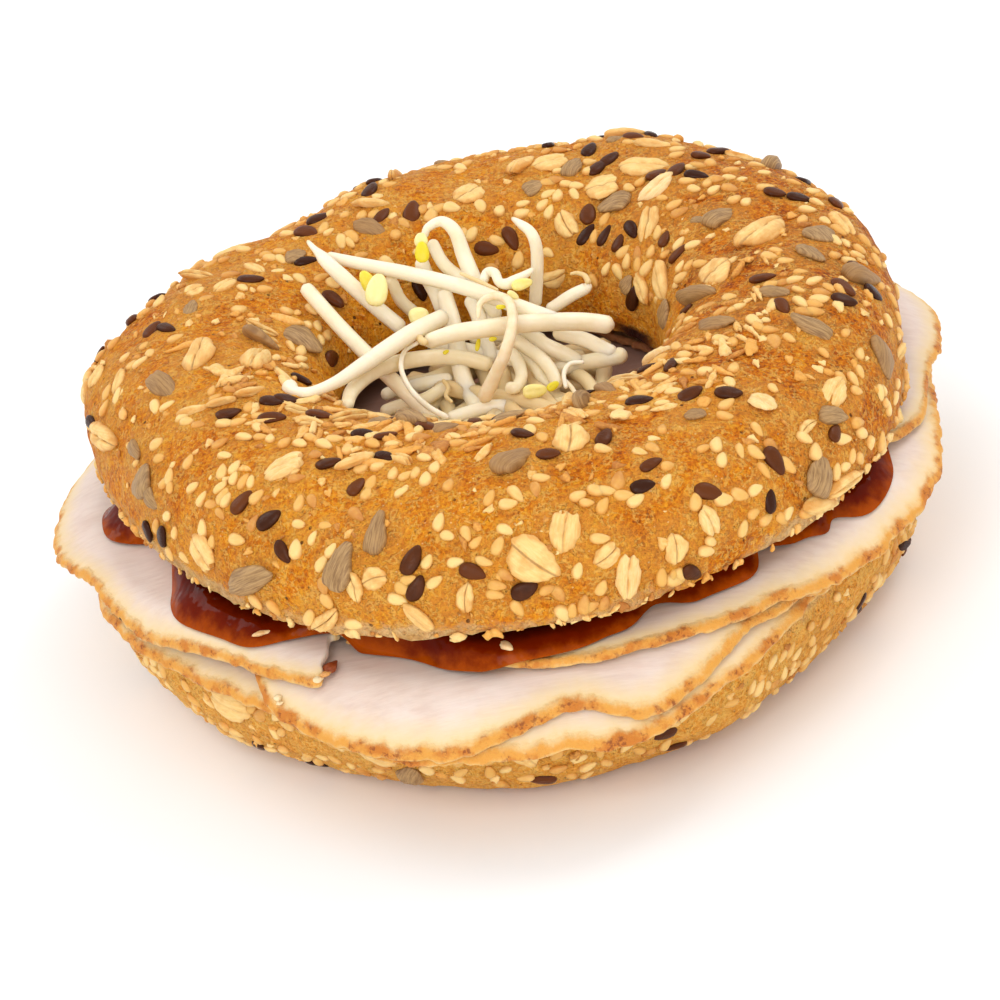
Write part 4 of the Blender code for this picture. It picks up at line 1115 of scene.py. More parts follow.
def sliceHeight(layer, leftSag, x, y):  # the underside of a slice
    base = bagel["lowerHeight"] + turkey["gap"] + layer * turkey["pitch"]
    return base - droop(x, y) - leftSag * smooth((-x - 42) / 14)


def outlinePoints(corners, count):  # a closed curve through the corners
    corners = np.array(corners, float)
    steps = np.linspace(0, len(corners), count, endpoint=False)
    index = steps.astype(int)
    part = (steps - index)[:, None]
    return curveThrough(*(corners[(index + k) % len(corners)] for k in (-1, 0, 1, 2)), part)


def outlineReach(corners, middle, bearing):
    points = outlinePoints(corners, turkey["outlineSteps"]) - np.array(middle)
    angles = np.arctan2(points[:, 1], points[:, 0])
    order = np.argsort(angles)
    return np.interp(bearing, angles[order], np.hypot(*points[order].T), period=2 * math.pi)


def turkeyPaint():
    paint = Paint("turkey", soft=0.20, softReach=(1.0, 0.62, 0.45), softScale=0.0018, gloss=0.40)
    edge = paint.mark("edgeDistance")   # mm from the rim
    ragged = paint.noise(2.6, 4.0, 0.65)
    blotch = paint.noise(0.9, 4.0, 0.7)
    far = edge + (ragged - 0.5) * 1.7 + (blotch - 0.5) * 0.7
    fibres = paint.noise(1.0, 4.0, place=paint.stretched((0.12, 1.0, 1.0), (0, 0, 0.5)))
    meat = paint.blend(fibres.step(0.35, 0.68), tint(224, 204, 191), tint(216, 193, 180))
    meat = paint.blend(paint.noise(7.0, 3.0).step(0.35, 0.7) * 0.6, meat, tint(230, 213, 203))
    patchy = paint.noise(4.6, 4.0, 0.65)
    near = edge + (ragged - 0.5) * 1.3 + (blotch - 0.5) * 0.8
    low = paint.mark("low") + (ragged - 0.5) * 1.0 + (blotch - 0.5) * 0.6
    colour = paint.blend(far.step(4.6, 0.5), meat, tint(227, 201, 152))
    colour = paint.blend(near.step(1.9, 0.3), colour, tint(224, 184, 118))
    crisp = near.step(0.95, 0.20) * low.step(0.85, 0.25)
    colour = paint.blend(crisp, colour, tint(216, 152, 60))
    browned = patchy.step(0.47, 0.62) * near.step(1.25, 0.35) * low.step(1.0, 0.5)
    colour = paint.blend(browned * 0.85, colour, tint(190, 108, 18))
    charred = blotch.step(0.52, 0.62) * patchy.step(0.45, 0.60) * near.step(1.1, 0.4)
    colour = paint.blend(charred * 0.8, colour, tint(128, 58, 4))
    # painted shade on the meat under the bread and in the hole
    colour = paint.blend(paint.mark("paintedHoleShade") * 0.75, colour, tint(140, 84, 62))
    roasted = far.step(1.3, 0.5)
    height = fibres * 0.25 + blotch * roasted * 1.1
    normal = paint.bump(height, 0.30)
    return paint.finish(colour=colour, normal=normal, roughness=0.46 + roasted * 0.14)


def turkeySlice(number, layer, middle, leftSag, corners, paint):
    # polar grid: over the top from the middle to the rim, round it, and back below
    bearing = np.linspace(-math.pi, math.pi, turkey["bearings"], endpoint=False)
    rings = turkey["rings"]
    inner = np.linspace(0.02, 1, rings) ** 0.8
    rimTurn = np.linspace(0, math.pi, turkey["rimRings"] + 2)[1:-1]
    rim = outlineReach(corners, middle, bearing)
    for size, count, seed in turkey["fray"]:
        rim = rim + size * ringCloud(bearing, count, number + seed)
    torn = 0 * bearing
    for which, at, halfWidth, deep in tears:
        if which == number:
            off = np.exp(-((bearing - math.radians(at)) / math.radians(halfWidth)) ** 4)
            rim, torn = rim - deep * off, np.maximum(torn, off)
    thick = turkey["thickness"] + (turkey["rim"] - turkey["thickness"]) * smooth(inner)
    rimHalf = turkey["rim"] / 2
    reach, level, edge = [], [], []
    for share, thickHere in zip(inner, thick):
        reach.append(share * (rim - rimHalf))
        level.append(thickHere + 0 * rim)
    frayed = rimHalf * (1 + turkey["frayOut"] * ringCloud(bearing, 200, 5))
    for turn in rimTurn:
        reach.append(rim - rimHalf + math.sin(turn) * frayed)
        level.append(rimHalf * (1 + math.cos(turn)) + 0 * rim)
    for share in inner[::-2]:
        reach.append(share * (rim - rimHalf))
        level.append(0 * rim)
    reach, level = np.array(reach), np.array(level)
    x, y = middle[0] + reach * np.cos(bearing), middle[1] + reach * np.sin(bearing)
    for which, atX, atY, halfWidth, deep in notches:
        if which == number:
            x = x - deep * np.exp(-((x - atX) ** 2 + ((y - atY) * 1.6) ** 2) / halfWidth ** 2)
    fromRim = np.clip(rim - reach + 3.4 * smooth(torn), 0, turkey["middleMark"])
    wave = turkey["wave"] * cloud(np.stack([x, y, 0 * x], -1), 9.0, 50 + number)
    curl = turkey["curl"] * ringCloud(bearing, 34, 60 + number) * smooth(1 - fromRim / 5)
    skin = turkey["skin"] * cloud(np.stack([x, y, level * 2], -1), 1.2, 70 + number)
    skin = skin * smooth(1 - fromRim / 1.8)
    height = sliceHeight(layer, leftSag, x, y) + level + wave + curl + skin
    points = np.stack([x, y, height], -1)
    flat = np.concatenate([points[:1].mean(1), points.reshape(-1, 3), points[-1:].mean(1)])
    faces = copiedFaces(poleFaces(len(reach), turkey["bearings"]), [0])
    # painted shade: darkens the meat under the bread round the hole, fully within 32 mm of the axis,
    # fading out by 40 mm
    paintedHoleShade = smooth((40.0 - np.hypot(*(flat[:, :2] - upperShift[:2]).T)) / 8)
    marks = {"edgeDistance": withPoles(fromRim, turkey["middleMark"], turkey["middleMark"]),
             "low": withPoles(1 - level / turkey["rim"], 0, 1), "paintedHoleShade": paintedHoleShade}
    return meshPiece("turkeySlice%d" % number, flat, faces, paint, marks, turkey["sharp"])


turkeyFinish = turkeyPaint()
for number, (layer, middle, leftSag, corners) in enumerate(slices, start=1):
    piece = turkeySlice(number, layer, middle, leftSag, corners, turkeyFinish)
    finishPiece(piece, "turkey", "turkey_slice_%d" % number)
print("turkey made")


# Sauce: a flat ring between turkey and bread, squeezed out in lobes

sauce = {
    "inner": 28.0, "outer": 52.5, "ceiling": 30.6, "edge": 1.15, "gap": 0.62,
    # bearing and half width in degrees, and how far the lobe reaches
    "lobes": [(182.5, 8, 7.0), (222, 15, 7.4), (249, 9, 3.0), (269.5, 14, 10.0), (286, 6, 3.0),
              (297, 8, 7.5), (311.5, 5, 5.5), (327, 11.5, 7.8)],
    "bearings": 600, "across": 48, "sharp": 80, "roundEdge": 4.5, "thinEdge": 7.0,
    "outlineSteps": 96,   # a slice's outline, where the distance from it is measured
}


def outsideDistance(corners, x, y):  # how far outside an outline, less than 0 inside it
    points = outlinePoints(corners, sauce["outlineSteps"])
    after = np.roll(points, -1, axis=0)
    places = np.stack([x, y], -1)[:, None, :]
    along = after - points
    share = ((places - points) * along).sum(-1) / (along * along).sum(-1)
    nearest = points + np.clip(share, 0, 1)[..., None] * along
    distance = np.linalg.norm(places - nearest, axis=-1).min(axis=1)
    crosses = (points[:, 1] > places[..., 1]) != (after[:, 1] > places[..., 1])
    reach = points[:, 0] + (places[..., 1] - points[:, 1]) * along[:, 0] / along[:, 1]
    inside = ((crosses & (places[..., 0] < reach)).sum(axis=1) % 2) == 1
    return np.where(inside, -distance, distance)


def stackTop(x, y, past=3.5, fade=3.0):
    # the top of the turkey, levelled out round each slice's edge: each slice counts up to so
    # many mm past its outline, and fades over so many
    shape = x.shape
    x, y = x.ravel(), y.ravel()
    top = np.full(x.shape, bagel["lowerHeight"]) - droop(x, y)
    for layer, _, leftSag, corners in slices:
        covered = smooth((past - outsideDistance(corners, x, y)) / fade)
        own = sliceHeight(layer, leftSag, x, y) + turkey["thickness"]
        top = top + covered * np.maximum(own - top, 0.0)
    return top.reshape(shape)


def sauceReach(bearing):
    reach = np.full(bearing.shape, sauce["outer"])
    for middle, half, height in sauce["lobes"]:
        reach = reach + height * np.exp(-(turnFrom(bearing, middle) / math.radians(half)) ** 4)
    return reach + 0.35 * ringCloud(bearing, 60, 81) + 0.7 * ringCloud(bearing, 24, 82)


def saucePaint():
    paint = Paint("sauce", soft=0.08, softReach=(1.0, 0.3, 0.08), softScale=0.0010, gloss=0.05)
    thin = paint.mark("thin")
    cloudy = paint.noise(3.0, 4.0, 0.6)
    far = thin + (cloudy - 0.5) * 0.5
    # darker away from the thin edge: partly the colour of a thicker layer, partly a painted shade near
    # the bread
    colour = paint.blend(far.step(0.15, 0.80), tint(48, 2, 0), tint(98, 21, 0))
    colour = paint.blend(far.step(0.74, 1.08), colour, tint(160, 68, 5))
    normal = paint.bump(paint.noise(4.0, 2.0), 0.5)
    return paint.finish(colour=colour, normal=normal, roughness=0.05 + cloudy * 0.05)


def sauceLayer():
    # the section is a flat band with rounded edges: v goes over the top and back below
    bearing = np.linspace(0, 2 * math.pi, sauce["bearings"], endpoint=False)
    v = np.linspace(0, 2 * math.pi, sauce["across"] * 2, endpoint=False)
    bearing, v = np.meshgrid(bearing, v, indexing="ij")
    share = 0.5 + 0.5 * np.cos(v)
    share = 1 - (1 - share) ** 1.25
    outer = sauceReach(bearing)
    radius = sauce["inner"] + share * (outer - sauce["inner"])
    x, y = radius * np.cos(bearing), radius * np.sin(bearing)
    innerFloor = bagel["lowerHeight"] + 4 * turkey["pitch"] + turkey["gap"]
    floor = stackTop(x, y) + sauce["gap"] * smooth((outer - radius) / 3) + 0.06
    floor = innerFloor + (floor - innerFloor) * smooth((radius - 45) / 8)
    puddle = sauce["edge"] * (1 + 0.35 * cloud(np.stack([x, y, 0 * x], -1), 4.0, 83))
    roundOff = 1 - (1 - np.clip((outer - radius) / sauce["roundEdge"], 0, 1)) ** 2
    ceiling = sauce["ceiling"] + (floor + puddle * roundOff - sauce["ceiling"]) \
        * smooth((radius - 52) / 5)
    height = np.where(v < math.pi, ceiling, floor)
    height = np.where(share > 0.9999, floor + 0.02, height)
    thin = 1 - np.clip((outer - radius) / sauce["thinEdge"], 0, 1)
    faces = gridFaces(*bearing.shape, True, True)
    return meshPiece("sauceLayer", np.stack([x, y, height], -1), faces.tolist(), saucePaint(),
                     {"thin": thin}, sauce["sharp"])


finishPiece(sauceLayer(), "sauce", "sauce")
print("sauce made")


# Torn bits: crumbs of bread and meat that lie on the slices and the sauce

bits = {"grid": (14, 18), "rough": 0.28, "sharp": 60, "from": 50.0, "to": 2.0, "step": 0.1}
# x and y pixels, how high over the turkey, length, width and height in mm, direction, tone
bitSpots = [
    (319, 679, 0.3, 1.5, 1.1, 0.7, 60, 0.0), (331, 666, 0.5, 2.5, 1.7, 1.1, 70, 1.3),
    (326, 674, 0.3, 1.5, 0.9, 0.7, 20, 0.9), (278, 697, 0.2, 1.4, 1.1, 0.7, 80, 0.1),
    (280, 703, 0.2, 1.0, 0.7, 0.5, 10, 0.2), (738, 553, 1.5, 4.0, 1.9, 1.4, 25, 0.05),
    (728, 558, 1.4, 2.0, 1.4, 1.0, 60, 0.2), (265, 632, 1.0, 3.2, 0.9, 0.5, 15, 0.45),
    (279, 627, 1.0, 3.0, 1.0, 0.5, 5, 0.5), (507, 646, 1.3, 2.7, 1.4, 1.0, -40, 0.35),
    (123, 618, 0.2, 3.0, 0.8, 0.8, -50, 2.2),
    (905, 545, 0.2, 2.2, 1.1, 0.8, 60, 2.2), (400, 640, 1.0, 1.6, 0.7, 0.5, 10, 0.3),
    (352, 641, 0.8, 1.7, 0.9, 0.7, 30, 0.7), (345, 634, 1.2, 1.2, 0.8, 0.7, 0, 0.2)]


def onStack(px, py, over):  # the first place down a pixel's sight line that is over the turkey
    heights = np.arange(bits["from"], bits["to"], -bits["step"])
    places = np.array([atHeight(px, py, z) for z in heights])
    reached = places[:, 2] <= stackTop(places[:, 0], places[:, 1], -0.3, 0.3) + over
    return places[np.argmax(reached)]


def bitPaint():
    paint = Paint("tornBits", soft=0.1, softReach=(1.0, 0.6, 0.4), softScale=0.0010)
    tone = paint.mark("tone") + (paint.noise(0.7, 3.0) - 0.5) * 0.5
    colour = paint.blend(tone.step(0.1, 0.7), tint(236, 212, 168), tint(226, 166, 92))
    colour = paint.blend(tone.step(0.75, 1.3), colour, tint(138, 58, 8))
    colour = paint.blend(tone.step(1.6, 2.0), colour, tint(50, 22, 10))
    normal = paint.bump(paint.noise(0.4, 3.0), 0.15)
    return paint.finish(colour=colour, normal=normal, roughness=0.5 + tone * 0.05)


def tornBits():
    rows, columns = bits["grid"]
    form = np.stack(sesameForm(*spanGrid(rows, columns, 1)), -1).reshape(-1, 3)
    form = np.concatenate([[[-1, 0, 0]], form, [[1, 0, 0]]])
    level = np.array([0.0, 0.0, 1.0])
    stretch = 1 / math.sin(math.radians(view["elevation"]))   # the slices are seen aslant
    points, tones = [], []
    for i, (px, py, over, length, width, high, heading, tone) in enumerate(bitSpots):
        a = math.radians(heading)
        way = unit(right * math.cos(a) + up * math.sin(a) * stretch)
        way = unit(way - level * (way @ level))
        side = np.cross(level, way)
        rough = 1 + bits["rough"] * cloud(form * 1.7 + i * 3.1, 1.0, 97)
        local = form * rough[:, None] * np.array([length, width, high]) / 2
        points.append(onStack(px, py, over) + local @ np.stack([way, side, level]))
        tones.append(np.full(len(form), tone))
    faces = copiedFaces(poleFaces(rows - 2, columns), np.arange(len(bitSpots)) * len(form))
    piece = meshPiece("tornBits", np.concatenate(points), faces, bitPaint(),
                      {"tone": np.concatenate(tones)}, bits["sharp"])
    return finishPiece(piece, "crust")


tornBits()
print("torn bits made")


# Bean sprouts: stems placed by their pixels and heights, over a bed of others

sprouts = {
    "sides": 14, "rings": 56, "rootRings": 44, "sharp": 60,
    "bedStems": 30, "bedRadius": 21.0, "bedLow": 27.8, "bedHigh": 33.0,
    "nearStems": 20, "nearRadius": 14.5, "nearShift": -6.5,
    "rootTan": 0.75, "cutTan": 0.12,   # how brown a stem's first end is, with a root and without
}
# radii in mm from a stem's start to its end, then x and y pixels with height in mm
stemRoutes = [
    ((0.8, 1.1, 1.15, 1.15, 1.1), [(325, 255, 48.5), (400, 272, 46.8), (470, 290, 45),
                                   (520, 306, 43.2), (558, 321, 41)]),
    ((0.3, 0.5, 1.0, 1.15, 1.15, 1.15), [(308, 241, 51), (318, 252, 50.5), (330, 266, 49.5),
                                         (365, 297, 44.5), (404, 330, 39.5)]),
    ((1.1, 1.1, 1.15, 1.15, 1.1), [(304, 286, 47.5), (335, 322, 44), (370, 357, 40.5),
                                   (405, 392, 37), (436, 422, 33)]),
    ((0.85, 0.95, 0.95), [(388, 276, 46), (400, 298, 42), (418, 318, 38.5)]),
    ((0.5, 0.7, 1.0, 1.2, 1.2, 1.2), [(423, 238, 49.2), (428, 228, 50.4), (443, 222, 50.9),
                                      (456, 232, 49.8), (464, 256, 46.5), (474, 281, 43.5),
                                      (486, 305, 40), (498, 345, 36)]),
    ((1.1, 1.15, 1.1), [(420, 258, 46.5), (433, 289, 42), (445, 312, 39)]),
    ((0.9, 1.0, 1.0), [(430, 240, 48), (446, 266, 45), (474, 289, 42.5), (500, 318, 39)]),
    ((0.3, 0.7, 0.9, 0.95, 0.95), [(512, 218, 50), (521, 224, 50.4), (531, 233, 50),
                                   (536, 250, 47.5), (537, 280, 42.5), (536, 307, 38)]),
    ((0.65, 0.75, 0.7, 0.9, 0.4), [(484, 283, 45), (487, 272, 45.8), (494, 273, 46),
                                   (499, 283, 45.6), (508, 284, 45.4), (520, 277, 45.4),
                                   (533, 269, 45.6)]),
    ((0.9, 0.95, 0.9, 0.5), [(546, 311, 38.2), (568, 298, 39.4), (584, 289, 40.4),
                             (589, 283, 41.2)]),
    ((1.1, 1.3, 1.35, 1.35, 1.35), [(424, 343, 42), (450, 335, 42.8), (474, 330, 43),
                                    (525, 323, 42.2), (576, 322, 40.2), (614, 326, 38.4)]),
    ((1.4, 0.75, 0.75, 0.9, 1.15, 1.3, 1.3, 1.25), [(288, 385, 47.8), (296, 391, 48),
                                                    (312, 392, 48), (335, 383, 47),
                                                    (360, 367, 45.6), (385, 350, 44.6),
                                                    (415, 331, 43.6), (446, 316, 41.6)]),
    ((0.9, 1.15, 1.2, 1.15, 1.1), [(347, 407, 44), (353, 390, 43.4), (370, 374, 42),
                                   (398, 363, 40), (433, 357, 38.6), (464, 358, 37.4),
                                   (492, 366, 36)]),
    ((1.2, 1.3, 1.3, 1.2), [(444, 290, 42.5), (451, 317, 40), (457, 348, 37.5),
                            (464, 378, 35), (478, 409, 32.5)]),
    ((1.1, 1.15, 1.1), [(469, 297, 41.5), (482, 327, 38.5), (492, 363, 35)]),
    ((0.9, 1.0, 0.95), [(512, 337, 39), (533, 352, 37.5), (548, 367, 36), (560, 387, 34)]),
    ((1.1, 1.2, 1.1), [(522, 330, 38.4), (551, 348, 36.5), (582, 364, 34)]),
    ((1.0, 1.15, 1.1), [(554, 332, 37.4), (584, 340, 36), (616, 354, 34.4)]),
    ((1.1, 1.2, 1.25), [(545, 372, 33.5), (589, 362, 33.8), (628, 354, 34)]),
    ((0.95, 1.05, 0.9), [(447, 419, 33), (487, 408, 33.4), (525, 405, 33.2), (546, 400, 33)]),
    ((0.95, 0.95, 0.85, 0.95), [(507, 350, 38), (518, 362, 37), (522, 376, 36.2),
                                (516, 387, 36), (506, 387, 36)]),
    ((0.8, 0.9, 0.8), [(520, 352, 37), (535, 368, 35.4), (551, 387, 33.5)]),
    ((0.9, 1.05, 1.0), [(382, 396, 34), (420, 384, 34.5), (452, 380, 34.5)]),
    ((0.9, 1.0, 0.9), [(380, 412, 34), (415, 402, 34), (450, 386, 34)]),
    ((0.95, 1.05, 1.0), [(470, 340, 37), (505, 334, 37.5), (545, 340, 37)]),
    ((0.9, 1.0, 1.0), [(430, 345, 38), (470, 350, 36.5), (520, 362, 34.5)]),
]
# The thin ones, with how tan each is
rootRoutes = [
    ((0.3, 0.4, 0.45), 0.25, [(419, 342, 42.6), (405, 351, 42), (401, 366, 41),
                              (406, 382, 39.5), (416, 396, 38), (430, 408, 36),
                              (448, 418, 34.5)]),
    ((0.35, 0.55, 0.7, 0.8, 0.95, 1.1), 0.55, [(478, 318, 44.4), (480, 304, 45.4),
                                                (490, 297, 46), (502, 297, 46),
                                                (511, 306, 45.6), (512, 327, 44.4),
                                                (505, 353, 42), (494, 378, 38.5),
                                                (482, 402, 35)]),
    ((0.5, 0.35, 0.2), 0.95, [(589, 284, 41.2), (585, 276, 42), (577, 273, 42.2),
                              (570, 274, 42.2)]),
    ((0.3, 0.38, 0.3), 0.15, [(566, 388, 34.5), (564, 374, 35.6), (570, 364, 36.2),
                              (584, 362, 36)]),
    ((0.25, 0.35, 0.2), 0.8, [(460, 273, 47.4), (478, 281, 46.9), (498, 290, 46.2)]),
    ((0.2, 0.35, 0.3), 0.5, [(566, 380, 35), (572, 388, 34.6), (577, 396, 34.4)]),
    ((0.3, 0.35, 0.25), 0.9, [(443, 380, 35.6), (448, 388, 35.4), (446, 396, 35),
                              (452, 402, 34.8)]),
    ((0.5, 0.6, 0.5), 0.9, [(419, 337, 43.2), (422, 341, 43.4), (427, 343, 43.4)]),
]
leaf = {"grid": (16, 22), "groove": 0.28, "flat": 0.8, "lean": 0.2}
# a seed leaf's pixel and height, length and width in mm, direction in the picture, greenness
leafSpots = [
    (368, 282, 47.4, 3.8, 2.2, 120, 0.75), (377, 290, 47.2, 4.9, 3.2, 80, 0.12),
    (421, 240, 50.0, 2.2, 2.0, 95, 0.20), (422, 252, 49.2, 3.2, 2.1, 92, 0.95),
    (522, 284, 45.6, 3.2, 1.7, 15, 0.40), (501, 307, 45.4, 1.5, 0.7, 5, 1.2),
    (446, 352, 39.4, 1.0, 0.6, 30, 1.1), (493, 339, 41.6, 1.2, 0.7, 10, 1.0),
    (478, 344, 40.4, 2.2, 0.7, 80, 0.9), (535, 391, 35.6, 3.6, 2.1, 8, 0.35),
    (521, 387, 35.4, 1.5, 0.7, -20, 1.2), (553, 386, 35.6, 2.0, 1.2, 35, 1.25),
    (419, 316, 42.4, 3.0, 2.7, 20, 0.15), (513, 295, 45.0, 1.9, 1.0, -30, 0.2),
]


def curvePoints(points, count):  # an open curve through the points
    points = np.array(points, float)
    padded = np.vstack([2 * points[0] - points[1], points, 2 * points[-1] - points[-2]])
    steps = np.linspace(0, len(points) - 1, count)
    index = np.minimum(steps.astype(int), len(points) - 2)
    part = (steps - index)[:, None]
    return curveThrough(*(padded[index + k] for k in range(4)), part)


def tube(path, radii):
    # a circle carried along the path, its radius falling to the ends as a quarter circle does
    forward = unit(np.gradient(path, axis=0))
    side = unit(np.cross(forward, np.array([0.13, 0.21, 0.97])))
    above = np.cross(side, forward)
    angle = np.linspace(0, 2 * math.pi, sprouts["sides"], endpoint=False)[None, :, None]
    circle = side[:, None] * np.cos(angle) + above[:, None] * np.sin(angle)
    length = np.concatenate([[0], np.cumsum(np.linalg.norm(np.diff(path, axis=0), axis=1))])
    fromEnd = np.minimum(length, length[-1] - length) + 0.05
    taper = np.sqrt(np.clip(1 - (1 - np.clip(fromEnd / radii, 0, 1)) ** 2, 0.02, 1))
    return path[:, None] + circle * (radii * taper)[:, None, None]


def tubePiece(name, stems, paint):
    # all tubes in one mesh, each closed by a pole at either end
    points, faces, tones, endTints = [], [], [], []
    start = 0
    for path, radii, tone, endTint in stems:
        rings = tube(path, radii)
        points += [path[:1], rings.reshape(-1, 3), path[-1:]]
        faces += copiedFaces(poleFaces(*rings.shape[:2]), [start])
        tones.append(withPoles(np.full(rings.shape[:2], tone), tone, tone))
        endTints.append(withPoles(np.repeat(endTint, rings.shape[1]), endTint[0], endTint[-1]))
        start += len(tones[-1])
    marks = {"tone": np.concatenate(tones), "endTint": np.concatenate(endTints)}
    piece = meshPiece(name, np.concatenate(points), faces, paint, marks, sprouts["sharp"])
    return finishPiece(piece, "sprout", "bean_sprouts")


def pixelPath(route, count):
    return curvePoints([atHeight(px, py, z) for px, py, z in route], count)


def radiiAlong(radii, count):
    return np.interp(np.linspace(0, len(radii) - 1, count), np.arange(len(radii)), radii)


def bedStems(chance):
    # loose stems that cross the hole below the ones that show, at slowly rising heights, and
    # shorter ones nearer the front, where the bread hides them from the camera
    for i in range(sprouts["bedStems"] + sprouts["nearStems"]):
        near = i >= sprouts["bedStems"]
        rise = i % sprouts["bedStems"] / sprouts["bedStems"]
        height = sprouts["bedLow"] + (sprouts["bedHigh"] - sprouts["bedLow"]) * rise
        radius = sprouts["nearRadius" if near else "bedRadius"]
        heading = chance.uniform(0, math.pi)
        off = chance.uniform(-0.85, 0.85) * radius * 0.8
        half = math.sqrt(radius ** 2 - off ** 2) * chance.uniform(0.55, 0.92)
        way = np.array([math.cos(heading), math.sin(heading), 0])
        side = np.array([-way[1], way[0], 0])
        bend = chance.uniform(-3.0, 3.0)
        middle = side * off + np.array([1.0, 1.0 + near * sprouts["nearShift"], height])
        tilt = chance.uniform(-1.2, 1.2)
        ends = [middle - way * half + side * bend + [0, 0, -tilt],
                middle - way * half * 0.35 - side * bend * 0.3, middle + way * half * 0.4,
                middle + way * half - side * bend * 0.6 + [0, 0, tilt]]
        radius = chance.uniform(0.95, 1.2)
        count = sprouts["rings"] // 2
        path = curvePoints(ends, count)
        dip = 1 - smooth((np.hypot(path[:, 0], path[:, 1]) - 8) / 16)
        path[:, 2] += 1.3 * dip
        # a tone of 1.2 to 2.0 gives these stems the sprouts' darker tint, a painted shade
        yield path, np.full(count, radius), chance.uniform(1.2, 2.0), np.zeros(count)


def sproutPaint():
    paint = Paint("sprout", soft=0.35, softReach=(1.0, 0.85, 0.55), softScale=0.0018, gloss=0.45)
    tone, end = paint.mark("tone"), paint.mark("endTint")
    cloudy = paint.noise(3.0, 3.0)
    colour = paint.blend((tone + cloudy - 0.5).step(0.0, 1.0), tint(247, 235, 208),
                         tint(234, 216, 172))
    # painted shade: the bed stems, with tones above 1.1, get a darker, warmer tint for lying deep in
    # the hole
    colour = paint.blend(tone.step(1.1, 2.0), colour, tint(226, 196, 144))
    colour = paint.blend(end, colour, tint(214, 178, 108))
    normal = paint.bump(paint.noise(0.9, 3.0), 0.08)
    return paint.finish(colour=colour, normal=normal, roughness=0.34 + cloudy * 0.08)


def rootPaint():
    paint = Paint("sproutRoot", soft=0.3, softReach=(1.0, 0.7, 0.4), softScale=0.0015, gloss=0.5)
    tone = paint.mark("tone") + (paint.noise(1.5, 3.0) - 0.5) * 0.5
    colour = paint.blend(tone.step(0.1, 0.9), tint(250, 240, 216), tint(226, 196, 140))
    return paint.finish(colour=colour, normal=paint.bump(paint.noise(0.5, 3.0), 0.08),
                        roughness=0.4 + tone * 0.05)


def leafPaint():
    paint = Paint("sproutLeaf", soft=0.4, softReach=(1.0, 0.8, 0.4), softScale=0.002, gloss=0.5)
    green = paint.mark("tone") + (paint.noise(1.2, 3.0) - 0.5) * 0.4
    colour = paint.blend(green.step(0.1, 0.9), tint(250, 232, 160), tint(226, 206, 30))
    normal = paint.bump(paint.noise(0.6, 3.0), 0.12)
    return paint.finish(colour=colour, normal=normal, roughness=0.36 + green * 0.04)


def stemPieces():
    chance = np.random.default_rng(21)
    stems = []
    for radii, route in stemRoutes:
        count = sprouts["rings"]
        path = pixelPath(route, count)
        wander = np.linspace(0, 1, count)[:, None]
        path = path + 0.10 * np.sin(wander * 9 + chance.uniform(0, 6, 3))
        ends = np.linspace(0, 1, count)
        if radii[0] < 0.45:
            tan = sprouts["rootTan"] * smooth(1 - ends / 0.10)
        else:
            tan = sprouts["cutTan"] * smooth(1 - ends / 0.05)
        stems.append((path, radiiAlong(radii, count), chance.uniform(0, 0.6), tan))
    stems += list(bedStems(chance))
    tubePiece("sproutStems", stems, sproutPaint())
    count = sprouts["rootRings"]
    roots = [(pixelPath(route, count), radiiAlong(radii, count), tan, np.zeros(count))
             for radii, tan, route in rootRoutes]
    tubePiece("sproutRoots", roots, rootPaint())


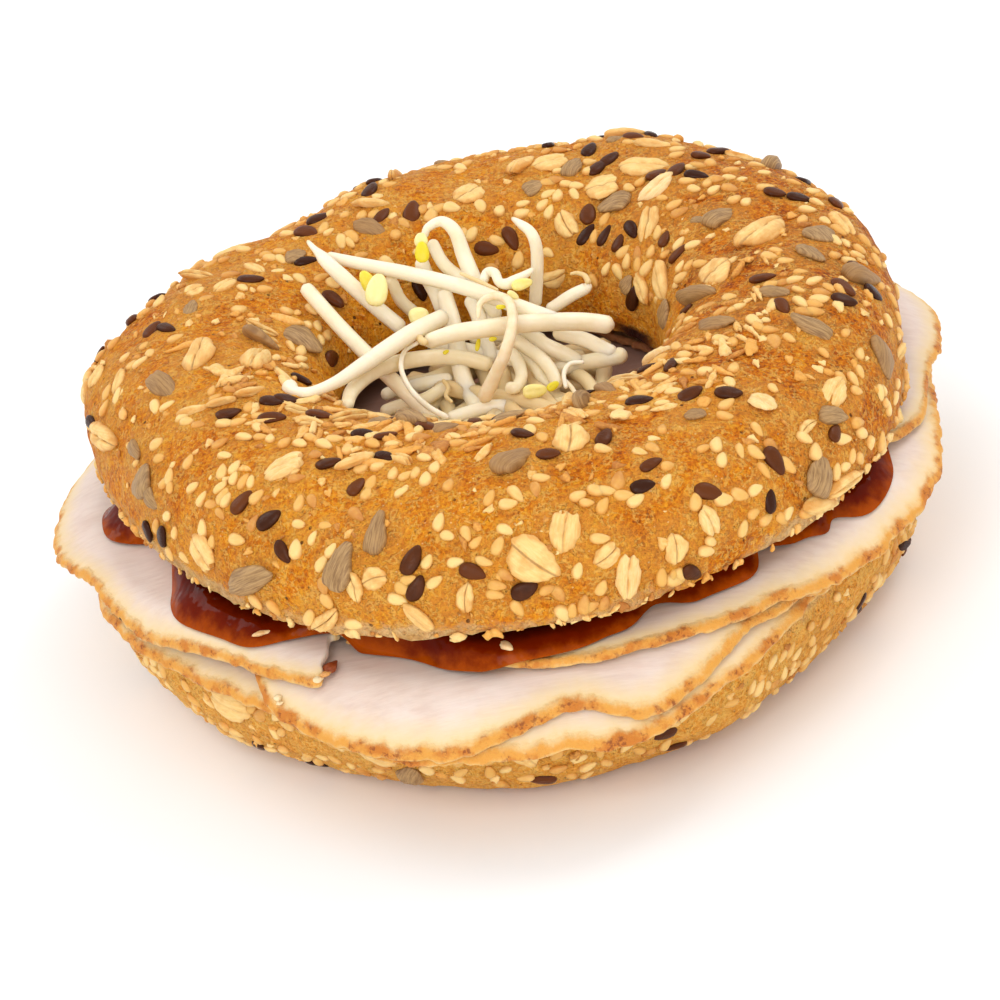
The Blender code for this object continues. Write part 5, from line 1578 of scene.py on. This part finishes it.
def leafPiece():
    # two halves pressed together: an oval, fuller in the middle, notched at one end
    rows, columns = leaf["grid"]
    u, v = spanGrid(rows, columns, math.pi)
    along = -np.cos(u)
    wide = np.sin(u) ** 0.8 * (1 - 0.18 * along)
    thick = wide * leaf["flat"] * (1 - leaf["groove"] * np.exp(-(np.cos(v) / 0.22) ** 2))
    form = np.stack([along, wide * np.cos(v), thick * np.sin(v)], -1).reshape(-1, 3)
    form = np.concatenate([[[-1, 0, 0]], form, [[1, 0, 0]]])
    points, tones = [], []
    for px, py, z, length, width, heading, green in leafSpots:
        a = math.radians(heading)
        way = unit(right * math.cos(a) + up * math.sin(a) + leaf["lean"] * ahead)
        facing = unit(-ahead - way * (-ahead @ way))
        side = np.cross(facing, way)
        local = form * np.array([length, width, width * leaf["flat"]]) / 2
        points.append(atHeight(px, py, z) + local @ np.stack([way, side, facing]))
        tones.append(np.full(len(form), green))
    faces = copiedFaces(poleFaces(rows - 2, columns), np.arange(len(leafSpots)) * len(form))
    piece = meshPiece("sproutLeaves", np.concatenate(points), faces, leafPaint(),
                      {"tone": np.concatenate(tones)}, sprouts["sharp"])
    return finishPiece(piece, "sprout", "bean_sprouts")


stemPieces()
leafPiece()
print("sprouts made")


# Studio: pale floor, soft lights

studio = {
    "floor": 4.0, "sky": 0.88, "aim": (0.0, 0.0, 0.03),
    # place, size, power: all aimed at the sandwich
    "lights": [((-0.30, -0.80, 0.75), 0.50, 3.7), ((0.25, -1.10, 0.30), 0.80, 3.0),
               ((0.55, 0.35, 0.80), 0.4, 2.4), ((-0.60, 0.45, 0.60), 0.4, 1.6)],
}


def addStudio():
    corners = np.array([(-1, -1), (1, -1), (1, 1), (-1, 1)]) * studio["floor"] / 2
    made = bpy.data.meshes.new("floor")
    made.from_pydata([(x, y, 0.0) for x, y in corners], [], [(0, 1, 2, 3)])
    paint = Paint("floor", gloss=0.1)
    pale = paint.blend(paint.noise(40.0, 2.0), tint(246, 246, 246), tint(250, 250, 250))
    made.materials.append(paint.finish(colour=pale, roughness=0.9))
    floor = bpy.data.objects.new("floor", made)
    bpy.context.scene.collection.objects.link(floor)
    world = bpy.data.worlds.new("studio")
    world.use_nodes = True
    back = world.node_tree.nodes["Background"]
    back.inputs["Color"].default_value = (1.0, 0.99, 0.98, 1.0)
    back.inputs["Strength"].default_value = studio["sky"]
    bpy.context.scene.world = world
    for number, (place, size, strength) in enumerate(studio["lights"]):
        data = bpy.data.lights.new("softBox%d" % number, "AREA")
        data.shape, data.size, data.energy = "SQUARE", size, strength
        lamp = bpy.data.objects.new(data.name, data)
        bpy.context.scene.collection.objects.link(lamp)
        lamp.location = place
        aim = Vector(studio["aim"]) - Vector(place)
        lamp.rotation_euler = aim.to_track_quat("-Z", "Y").to_euler()
    bpy.context.scene.view_settings.view_transform = "Standard"


addStudio()
print("studio set")
